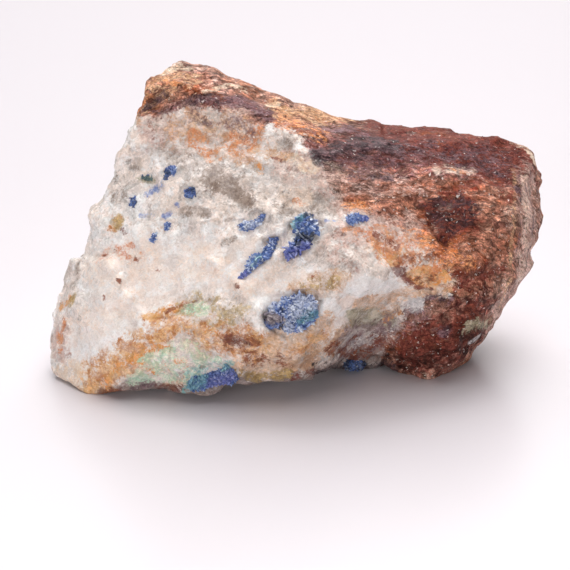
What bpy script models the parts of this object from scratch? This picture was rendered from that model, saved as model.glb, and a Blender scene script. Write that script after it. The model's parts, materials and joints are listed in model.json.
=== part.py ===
"""Linarite specimen: a broken lump of vein quartz and iron-stained host rock,
with groups of linarite crystals seated in pockets of its faces.

The lump is modelled in millimetres, and its meshes are scaled to metres at
the end. Its best side faces -Y, and its origin is the centre of its box, on
the surface that it rests on.
"""

import math
import random

import bmesh
import bpy
from mathutils import Matrix, Vector, geometry, noise
from mathutils.bvhtree import BVHTree
from mathutils.kdtree import KDTree

MM = 0.001

# The masses that make the lump, by the corners of their fracture faces, in
# millimetres: the quartz prow in front, the peak at the upper left, the body
# behind them, and the foot of host rock at the right.
PROW = [
    (-31.4, -7.6, 0.2),
    (-27.2, -12.2, -0.6),
    (-18.4, -13.8, 1.0),
    (-10.0, -14.2, 1.6),
    (0.2, -13.4, 2.8),
    (-33.4, -4.4, 3.0),
    (-24.0, -11.2, 10.0),
    (-11.0, -15.4, 11.0),
    (0.7, -16.8, 11.0),
    (6.6, -16.0, 17.2),
    (13.6, -11.8, 17.0),
    (-25.9, -0.4, 22.8),
    (-19.2, 2.4, 32.4),
    (0.8, -1.2, 31.6),
    (13.6, -4.4, 25.6),
    (10.5, -2.5, 1.0),
    (12.6, -4.5, 12.0),
    (-27.0, 6.0, 2.0),
]
PEAK = [
    (-19.2, 2.4, 32.4),
    (-18.8, 4.4, 38.4),
    (-14.8, 8.0, 39.8),
    (0.8, -1.2, 31.4),
    (3.6, 9.0, 32.2),
    (-22.0, 11.0, 26.0),
    (-10.0, 16.5, 25.0),
    (4.0, 14.0, 24.0),
    (-22.0, 4.0, 22.0),
    (4.0, 2.0, 22.0),
]
BODY = [
    (-25.9, -0.4, 22.8),
    (-19.8, 2.4, 32.6),
    (0.8, -1.2, 31.4),
    (13.6, -4.4, 25.6),
    (29.2, -1.4, 22.8),
    (33.2, 2.4, 16.4),
    (13.6, -11.6, 16.8),
    (19.8, -10.6, 15.2),
    (27.6, -5.4, 14.6),
    (3.6, 10.5, 31.8),
    (12.0, 11.5, 30.0),
    (24.0, 12.0, 27.6),
    (33.0, 9.0, 27.2),
    (34.6, 8.0, 18.0),
    (32.8, 6.0, 12.4),
    (-21.6, 11.0, 26.0),
    (-10.0, 16.5, 25.0),
    (7.0, 18.0, 21.5),
    (21.0, 17.0, 19.0),
    (29.5, 13.0, 15.0),
    (-28.6, 6.5, 9.0),
    (-19.0, 14.5, 7.0),
    (-2.0, 18.5, 8.0),
    (14.0, 17.5, 6.0),
    (26.0, 11.5, 6.0),
    (-28.0, -2.0, 1.0),
    (-20.0, 8.0, 0.3),
    (-4.0, 13.0, 0.1),
    (12.0, 12.0, 0.1),
    (22.0, 6.0, 0.2),
    (11.0, -4.0, -0.4),
    (3.0, -5.2, 0.2),
]
FOOT = [
    (12.8, -5.0, 0.2),
    (17.4, -7.8, -0.6),
    (22.2, -4.2, -0.2),
    (25.8, -0.4, 2.0),
    (13.6, -7.9, 7.0),
    (20.0, -10.2, 6.0),
    (26.2, -4.4, 6.2),
    (17.0, -10.8, 13.0),
    (20.4, -10.8, 14.4),
    (28.2, -5.4, 13.8),
    (33.2, 2.2, 13.4),
    (31.6, 6.0, 9.6),
    (20.0, 8.0, 2.0),
    (15.0, 4.0, 12.0),
]

# Small hollows and lumps of its faces: centre, radius, and depth or height.
HOLLOWS = [
    ((-17.9, 2.4, 35.1), 1.8, 1.3),
    ((-20.9, 2.4, 34.0), 1.5, 1.2),
    ((-1.7, -2.2, 30.2), 2.4, 0.9),
    ((-8.0, -5.6, 26.7), 3.6, 0.6),
    ((17.3, -6.4, 21.8), 2.0, 1.0),
    ((15.0, -5.4, 23.3), 1.5, 0.8),
    ((19.6, -8.0, 19.6), 1.5, 0.8),
    ((-17.0, -13.1, 11.0), 1.5, 0.6),
    ((-14.6, -13.4, 12.0), 1.4, 0.6),
    ((-12.2, -13.5, 12.9), 1.3, 0.6),
    ((-10.2, -13.3, 13.6), 1.2, 0.5),
]
LUMPS = [
    ((1.2, 0.4, 32.0), 3.6, 0.7),
    ((-23.0, -13.2, 1.4), 1.6, 0.7),
    ((1.2, -13.6, 3.6), 1.5, 0.7),
    ((-9.5, -14.6, 3.0), 2.2, 0.5),
    ((16.4, -8.8, 5.2), 2.4, 0.6),
]

# The sharp rib at the right end of the prow, where the faces stay plain.
RIB = (Vector((6.6, -16.0, 17.2)), Vector((0.2, -13.4, 2.8)))
RIB_REACH = 2.5

# The crystal groups: where on the front each one sits (x and z), its length
# and width on the face, the turn of its long side, and its number of blades.
GROUPS = {
    "linarite_rosette": ((0.0, 13.2), (6.6, 5.2), 10.0, 12),
    "linarite_cluster": ((1.0, 21.2), (3.9, 6.2), -12.0, 11),
    "linarite_sliver": ((-4.4, 19.0), (7.4, 1.5), 48.0, 7),
    "linarite_patch": ((-5.0, 22.5), (4.0, 1.8), 22.0, 6),
    "linarite_wedge": ((7.5, 23.0), (3.8, 1.4), 4.0, 4),
    "linarite_speck_1": ((-13.1, 25.3), (1.8, 1.5), 15.0, 3),
    "linarite_speck_2": ((-15.9, 27.0), (2.1, 1.7), 50.0, 4),
    "linarite_speck_3": ((-16.1, 21.1), (1.2, 1.6), -20.0, 3),
    "linarite_speck_4": ((-17.9, 19.6), (1.5, 1.3), 30.0, 3),
    "linarite_speck_5": ((-20.7, 23.2), (1.2, 1.5), 0.0, 3),
    "linarite_speck_6": ((-18.9, 25.9), (1.8, 1.0), 12.0, 3),
    "linarite_hem": ((-9.8, 4.2), (6.6, 2.5), 14.0, 8),
    "linarite_recess": ((8.4, 1.9), (3.3, 1.4), 6.0, 4),
}
SEAT_DEPTH = 1.0
SEAT_RISE = 0.3
GAP = 0.3

# The centre of the lump's box, which becomes the origin.
BOX_CENTRE = Vector((0.96, 0.49, 0.0))

# The grain of the lump: the edge of its sampled surface, and how many of the
# sampled faces are kept.
SAMPLE = 0.7
KEPT_FACES = 0.125

# The plane between the quartz vein, in front, and the host rock behind it.
HOST_EDGE = Vector((-18.6, 1.7, 32.8))
HOST_NORMAL = Vector((0.367, 0.919, 0.142)).normalized()

# The room that the fracture facets are scattered in, and how low it starts.
FACET_ROOM = Vector((76.0, 52.0, 50.0))
FACET_LOW = -4.0

# The side of the blocks that the floor and the pockets are cut with.
FLOOR_SIDE = 120.0
POCKET_SIDE = 24.0

GOLDEN_TURN = math.pi * (3.0 - math.sqrt(5.0))


def add(obj, collection):
    collection.objects.link(obj)
    return obj


def add_helper(obj, collection):
    """Links an object that only shapes others."""
    obj.hide_render = True
    obj.display_type = "WIRE"
    return add(obj, collection)


def made_object(name, shape):
    """A new object that takes a finished bmesh."""
    mesh = bpy.data.meshes.new(name)
    shape.to_mesh(mesh)
    shape.free()
    return bpy.data.objects.new(name, mesh)


def hull(name, corners):
    """A mesh object bounded by the flat faces between the outermost corners."""
    shape = bmesh.new()
    for corner in corners:
        shape.verts.new(corner)
    made = bmesh.ops.convex_hull(shape, input=shape.verts)
    inside = [item for item in made["geom_interior"] if isinstance(item, bmesh.types.BMVert)]
    bmesh.ops.delete(shape, geom=inside, context="VERTS")
    bmesh.ops.recalc_face_normals(shape, faces=shape.faces)
    return made_object(name, shape)


def combine(obj, other, operation="UNION"):
    """Adds a Boolean with another object to this one."""
    step = obj.modifiers.new(other.name, "BOOLEAN")
    step.operation = operation
    step.solver = "EXACT"
    step.object = other
    return step


def baked(obj, name):
    """A new mesh object with this one's modifiers applied."""
    bpy.context.view_layer.update()
    graph = bpy.context.evaluated_depsgraph_get()
    mesh = bpy.data.meshes.new_from_object(obj.evaluated_get(graph))
    mesh.name = name
    return bpy.data.objects.new(name, mesh)


class Facets:
    """Flat facets of about one size, each tilted its own way, scattered through the lump."""

    def __init__(self, size, seed):
        picks = random.Random(seed)
        self.size = size
        self.centres = []
        self.tilts = []
        count = int(FACET_ROOM.x * FACET_ROOM.y * FACET_ROOM.z / size**3)
        self.tree = KDTree(count)
        for index in range(count):
            centre = Vector([(picks.random() - 0.5) * side for side in FACET_ROOM])
            centre.z += FACET_ROOM.z / 2.0 + FACET_LOW
            self.centres.append(centre)
            self.tilts.append(Vector([picks.uniform(-1.0, 1.0) for _ in range(3)]))
            self.tree.insert(centre, index)
        self.tree.balance()

    def height(self, point, index):
        """Height at a point of one facet's plane."""
        tilt = self.tilts[index]
        return (point - self.centres[index]).dot(tilt) / self.size + 0.4 * tilt.x

    def ledges(self, point):
        """Facets that end in small cliffs."""
        return self.height(point, self.tree.find(point)[1])

    def edges(self, point):
        """Facets that meet along sharp edges."""
        near = self.tree.find_n(point, 4)
        return max(self.height(point, index) for _, index, _ in near) - 0.7


COARSE_FACETS = Facets(6.5, 3)
MIDDLE_FACETS = Facets(4.0, 8)
FINE_FACETS = Facets(2.2, 5)


def host_depth(point):
    """How far a point lies inside the host rock, past the quartz vein's edge."""
    wander = 2.2 * noise.noise(point * 0.11) + 0.8 * noise.noise(point * 0.35 + Vector((9, 4, 2)))
    return (point - HOST_EDGE).dot(HOST_NORMAL) + wander


def grain_relief(point):
    """Relief of the vein quartz: lumps with facets of three sizes."""
    coarse = 0.85 * COARSE_FACETS.ledges(point)
    return coarse + 0.55 * MIDDLE_FACETS.edges(point) + 0.2 * FINE_FACETS.edges(point)


def slab_relief(point):
    """Relief of the host rock: long low ribs that follow its foliation."""
    along = Vector((point.x * 0.07, point.y * 0.12, point.z * 0.34 + point.x * 0.10))
    ribs = noise.ridged_multi_fractal(along, 0.9, 2.1, 4, 1.0, 2.0) - 1.0
    return 0.45 * ribs + 0.5 * MIDDLE_FACETS.ledges(point) + 0.2 * FINE_FACETS.edges(point)


def bumps(point, spots):
    """Height at a point of the round bumps that a list gives."""
    total = 0.0
    for centre, radius, height in spots:
        share = (point - Vector(centre)).length / radius
        if share < 1.0:
            total += height * (1.0 - share * share) ** 2
    return total


def rib_calm(point):
    """How much of the relief is left near the prow's rib."""
    top, low = RIB
    near = geometry.intersect_point_line(point, top, low)[0]
    return min((point - near).length / RIB_REACH, 1.0)


def relief(point):
    """How far the broken surface stands out from the masses at a point."""
    host_share = min(max(host_depth(point) / 3.0 + 0.5, 0.0), 1.0)
    swell = 0.6 * noise.noise(point * 0.09 + Vector((4, 1, 8)))
    broken = (1.0 - host_share) * grain_relief(point) + host_share * slab_relief(point)
    return (swell + broken) * rib_calm(point) + bumps(point, LUMPS) - bumps(point, HOLLOWS)


def rough_lump(helpers):
    """The whole lump as one broken, faceted surface."""
    body = add_helper(hull("body", BODY), helpers)
    for name, corners in (("prow", PROW), ("peak", PEAK), ("foot", FOOT)):
        combine(body, add_helper(hull(name, corners), helpers))
    sampled = body.modifiers.new("sampled", "REMESH")
    sampled.mode = "VOXEL"
    sampled.voxel_size = SAMPLE
    lump = add_helper(baked(body, "lump"), helpers)
    surface = [(point.co.copy(), point.normal.copy()) for point in lump.data.vertices]
    for point, (place, out) in zip(lump.data.vertices, surface):
        point.co = place + out * relief(place)
    fewer = lump.modifiers.new("fewer", "DECIMATE")
    fewer.ratio = KEPT_FACES
    return lump


def floor_block():
    """What is cut from under the lump, so that it rests on flat spots."""
    shape = bmesh.new()
    bmesh.ops.create_cube(shape, size=FLOOR_SIDE)
    bmesh.ops.translate(shape, vec=(0.0, 0.0, -FLOOR_SIDE / 2.0), verts=shape.verts)
    return made_object("floor", shape)


def face_frame(tree, across, up, reach):
    """Where a sight line along +Y meets the lump, and the lie of its face there."""
    spots = []
    for step_x, step_z in ((0, 0), (1, 0), (-1, 0), (0, 1), (0, -1)):
        start = Vector((across + step_x * reach, -FLOOR_SIDE, up + step_z * reach))
        spots.append(tree.ray_cast(start, Vector((0, 1, 0)))[0])
    middle, right, left, top, low = spots
    out = (right - left).cross(top - low).normalized()
    side = (Vector((1, 0, 0)) - out * out.x).normalized()
    turn = Matrix((side, out.cross(side), out)).transposed().to_4x4()
    return Matrix.Translation(middle) @ turn


def add_blade(shape, length, slant, place):
    """Adds one tabular crystal: a flat six-sided prism with slanted ends."""
    made = bmesh.ops.create_cone(
        shape, cap_ends=True, segments=6, radius1=0.5, radius2=0.42, depth=1.0
    )
    flat = Matrix.Diagonal((0.52 * length, 0.24 * length, length, 1.0))
    flat[2][0] = slant * 0.52 * length
    bmesh.ops.transform(shape, matrix=place @ flat, verts=made["verts"])


def blades_of(size, count, picks):
    """The blades of one group, spread over its patch of the face."""
    shape = bmesh.new()
    across, up = size
    room = min(1.9 * min(size), max(size))
    upright = 90.0 if across < up else 0.0
    for index in range(count):
        spread = 0.30 * math.sqrt((index + 0.3) / count)
        turned = index * GOLDEN_TURN
        spot = Vector((across * spread * math.cos(turned), up * spread * math.sin(turned), 0.25))
        length = picks.uniform(0.45, 0.6) * room
        lean = 90.0 - picks.uniform(3.0, 20.0)
        heading = picks.uniform(-60.0, 60.0) + 180.0 * (index % 2) - 90.0 + upright
        roll = picks.uniform(-35.0, 35.0)
        place = (
            Matrix.Translation(spot)
            @ Matrix.Rotation(math.radians(heading), 4, "Z")
            @ Matrix.Rotation(math.radians(lean), 4, "X")
            @ Matrix.Rotation(math.radians(roll), 4, "Z")
        )
        add_blade(shape, length, picks.uniform(-0.5, 0.5), place)
    return made_object("blades", shape)


def seat_of(name, size):
    """The faceted foot that a group of blades stands on, sunk in the rock."""
    shape = bmesh.new()
    bmesh.ops.create_cone(
        shape, cap_ends=True, segments=8, radius1=0.36, radius2=0.47, depth=SEAT_DEPTH + SEAT_RISE
    )
    bmesh.ops.translate(shape, vec=(0.0, 0.0, (SEAT_RISE - SEAT_DEPTH) / 2.0), verts=shape.verts)
    bmesh.ops.scale(shape, vec=(*size, 1.0), verts=shape.verts)
    return made_object(name, shape)


def pocket_of(corners, frame):
    """The eight-sided pocket that the rock leaves round a group's corners."""
    shape = bmesh.new()
    bmesh.ops.create_cube(shape, size=POCKET_SIDE)
    outward = [Vector((0.0, 0.0, -1.0))]
    for step in range(8):
        outward.append(Matrix.Rotation(step * math.pi / 4.0, 3, "Z") @ Vector((1.0, 0.0, 0.0)))
    for side in outward:
        reach = max(corner.dot(side) for corner in corners) + GAP
        cut = bmesh.ops.bisect_plane(
            shape,
            geom=[*shape.verts, *shape.edges, *shape.faces],
            plane_co=side * reach,
            plane_no=side,
            clear_outer=True,
        )
        rim = [edge for edge in cut["geom_cut"] if isinstance(edge, bmesh.types.BMEdge)]
        bmesh.ops.contextual_create(shape, geom=rim)
    bmesh.ops.recalc_face_normals(shape, faces=shape.faces)
    shape.transform(frame)
    return made_object("pocket", shape)


def crystal_group(name, tree, helpers, seed):
    """One group of blades grown together in its place, and its pocket."""
    (across, up), size, turn, count = GROUPS[name]
    frame = face_frame(tree, across, up, 0.4 * min(size))
    frame = frame @ Matrix.Rotation(math.radians(turn), 4, "Z")
    group = seat_of(name, size)
    blades = add_helper(blades_of(size, count, random.Random(seed)), helpers)
    corners = [point.co.copy() for piece in (group, blades) for point in piece.data.vertices]
    for piece in (group, blades):
        piece.data.transform(frame)
    combine(group, blades).use_self = True
    return group, add_helper(pocket_of(corners, frame), helpers)


def finish(name, color, roughness):
    material = bpy.data.materials.new(name)
    material.use_nodes = True
    surface = material.node_tree.nodes["Principled BSDF"]
    surface.inputs["Base Color"].default_value = (*color, 1.0)
    surface.inputs["Roughness"].default_value = roughness
    return material


def paint_matrix(matrix):
    """Gives the vein and the host rock their own materials."""
    matrix.data.materials.append(finish("vein_quartz", (0.72, 0.62, 0.55), 0.4))
    matrix.data.materials.append(finish("host_rock", (0.20, 0.08, 0.05), 0.6))
    for face in matrix.data.polygons:
        face.material_index = int(host_depth(face.center) > 0.0)


def main():
    for old in list(bpy.data.objects):
        bpy.data.objects.remove(old)
    specimen = bpy.data.collections.new("linarite_specimen")
    helpers = bpy.data.collections.new("cutters")
    for collection in (specimen, helpers):
        bpy.context.scene.collection.children.link(collection)

    matrix = add(baked(rough_lump(helpers), "matrix"), specimen)
    paint_matrix(matrix)
    tree = BVHTree.FromPolygons(
        [point.co for point in matrix.data.vertices],
        [list(face.vertices) for face in matrix.data.polygons],
    )
    combine(matrix, add_helper(floor_block(), helpers), "DIFFERENCE")
    for seed, name in enumerate(GROUPS):
        group, pocket = crystal_group(name, tree, helpers, seed)
        group.data.materials.append(finish(name, (0.02, 0.06, 0.42), 0.35))
        add(group, specimen)
        combine(matrix, pocket, "DIFFERENCE")

    to_metres = Matrix.Scale(MM, 4) @ Matrix.Translation(-BOX_CENTRE)
    for piece in bpy.data.objects:
        piece.data.transform(to_metres)


if __name__ == "__main__":
    main()
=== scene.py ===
"""The looks of the linarite specimen: its broken surface of vein quartz and host
rock, the stains on it with painted shade and highlights, and the crusts of linarite crystals in their
places."""

import json
import math

import bmesh
import bpy
import numpy as np
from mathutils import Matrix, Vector, noise
from mathutils.bvhtree import BVHTree

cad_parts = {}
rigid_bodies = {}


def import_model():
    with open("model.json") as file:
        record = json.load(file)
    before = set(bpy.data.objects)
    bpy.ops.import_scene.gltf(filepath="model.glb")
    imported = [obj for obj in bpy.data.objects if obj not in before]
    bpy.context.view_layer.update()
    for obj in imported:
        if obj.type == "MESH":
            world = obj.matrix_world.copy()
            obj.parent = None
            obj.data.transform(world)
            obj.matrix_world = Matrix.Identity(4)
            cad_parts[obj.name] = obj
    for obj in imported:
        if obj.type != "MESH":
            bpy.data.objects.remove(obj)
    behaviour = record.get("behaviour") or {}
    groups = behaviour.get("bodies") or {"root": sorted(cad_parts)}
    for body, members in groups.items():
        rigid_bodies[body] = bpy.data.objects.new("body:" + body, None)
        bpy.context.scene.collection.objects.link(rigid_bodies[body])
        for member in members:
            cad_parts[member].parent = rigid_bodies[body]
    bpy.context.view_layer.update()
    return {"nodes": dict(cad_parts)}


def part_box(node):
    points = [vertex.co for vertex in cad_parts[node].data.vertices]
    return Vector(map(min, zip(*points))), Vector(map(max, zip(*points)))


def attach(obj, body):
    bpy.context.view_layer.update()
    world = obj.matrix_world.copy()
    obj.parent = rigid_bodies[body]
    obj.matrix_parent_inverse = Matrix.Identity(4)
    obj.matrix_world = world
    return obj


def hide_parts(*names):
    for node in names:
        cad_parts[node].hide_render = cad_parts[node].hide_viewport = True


for old in list(bpy.data.objects):
    bpy.data.objects.remove(old)
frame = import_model()

MM = 0.001

# The photograph's square frame, in its own pixels, and the camera that looks down at the lump.
FRAME_SIDE = 570
LENS = 90.0
SENSOR = 36.0
CAMERA_TILT = math.radians(22.0)
CAMERA_REACH = 178.1 * MM
AIM = Vector((-2.06, -12.49, 15.3)) * MM
SIGHT = Vector((0.0, math.cos(CAMERA_TILT), -math.sin(CAMERA_TILT)))
RIGHT = Vector((1.0, 0.0, 0.0))
UP = RIGHT.cross(SIGHT)
EYE = AIM - SIGHT * CAMERA_REACH
PIXEL = CAMERA_REACH * SENSOR / LENS / FRAME_SIDE

# The rock's mesh: its sampling, how far the faces of the CAD solid are softened, and its size.
VOXEL = 0.24 * MM
SOFTENING = 5
MOST_TRIANGLES = 192000
WELD = 0.001 * MM

# How far a plug reaches past the crystal group in its pocket, how many spots of the face round
# the pocket it is levelled with, and a place well in front of the rock to look for them from.
PLUG_MARGIN = 0.55 * MM
RIM_SPOTS = 24
IN_FRONT = -1.0

# The vein is smooth and crumbly in patches of this size. Each point holds how far it rises, in
# RISE_UNIT, over the points up to RISE_STEPS edges from it, and the colour is painted darker
# where it lies low, as painted shade and dirt in the hollows.
CRUMBLY_PATCH = 4.5 * MM
RISE_UNIT = 0.1 * MM
RISE_STEPS = 8

# The host rock lies above, right of and behind the quartz vein. This is where their contact
# shows on the front, from the peak at the left to the foot at the right. HOST_REACH is further
# than the rock goes from there, and HOST_BEHIND how far back the host rock starts elsewhere.
HOST_CONTACT = [
    (134, 120), (152, 117), (178, 114), (205, 106), (232, 110), (243, 122), (262, 126),
    (290, 128), (302, 138), (312, 152), (322, 162), (326, 176), (331, 192), (340, 204),
    (362, 211), (378, 218), (398, 228), (418, 240), (432, 252), (444, 268), (455, 282),
    (440, 292), (426, 300), (414, 310), (402, 322), (394, 338), (382, 352),
]
HOST_REACH = 100.0 * MM
HOST_BEHIND = 4.0 * MM
CONTACT_SPREAD = 1.6 * MM

# The host rock's leaves lie across this direction.
LEAF_NORMAL = Vector((-0.10, 0.80, 0.55)).normalized()

# Forms of the rock finer than the solid's: what they do, their width in pixels, their depth or
# height in millimetres, and the pixels that they run through.
FORMS = {
    "long_crack": ("sunken", 4, 0.15, [(150, 322), (165, 315), (178, 310), (190, 303), (204, 302)]),
    "peak_hollow": ("sunken", 11, 0.5, [(149, 107), (157, 101), (165, 95)]),
    "peak_crack": ("sunken", 4, 0.35, [(188, 97), (212, 95)]),
    "right_hollow": ("sunken", 34, 0.5, [(428, 208), (452, 206), (450, 226)]),
    "right_hollow_low": ("sunken", 16, 0.4, [(434, 230), (446, 242)]),
    "rosette_seat": ("sunken", 12, 0.6, [(274, 318), (277, 321)]),
    "small_pit_left": ("sunken", 8, 0.4, [(233, 344), (244, 346)]),
    "white_chip": ("raised", 6, 0.5, [(432, 224), (436, 232)]),
    "mint_crust": ("raised", 24, 0.25, [(152, 370), (172, 358), (190, 352)]),
    "smoky_window": ("calm", 24, 1.0, [(212, 172), (230, 188), (248, 200)]),
    "smoky_low": ("calm", 18, 1.0, [(184, 211), (205, 215)]),
    "white_patch": ("calm", 20, 1.0, [(324, 308), (338, 308)]),
    "milky_wedge": ("calm", 16, 1.0, [(345, 288), (400, 286)]),
    "smooth_middle": ("calm", 70, 0.8, [(150, 276), (190, 266), (244, 266)]),
    "smooth_low": ("calm", 70, 0.8, [(84, 354), (120, 322), (160, 300)]),
    "smooth_left": ("calm", 50, 0.7, [(100, 300), (112, 262), (140, 240)]),
    "smooth_right": ("calm", 34, 0.7, [(262, 296), (340, 262)]),
    "rib_face": ("calm", 14, 1.0, [(352, 292), (322, 350)]),
    "grey_facet": ("calm", 16, 1.0, [(346, 340), (364, 342)]),
}
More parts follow.
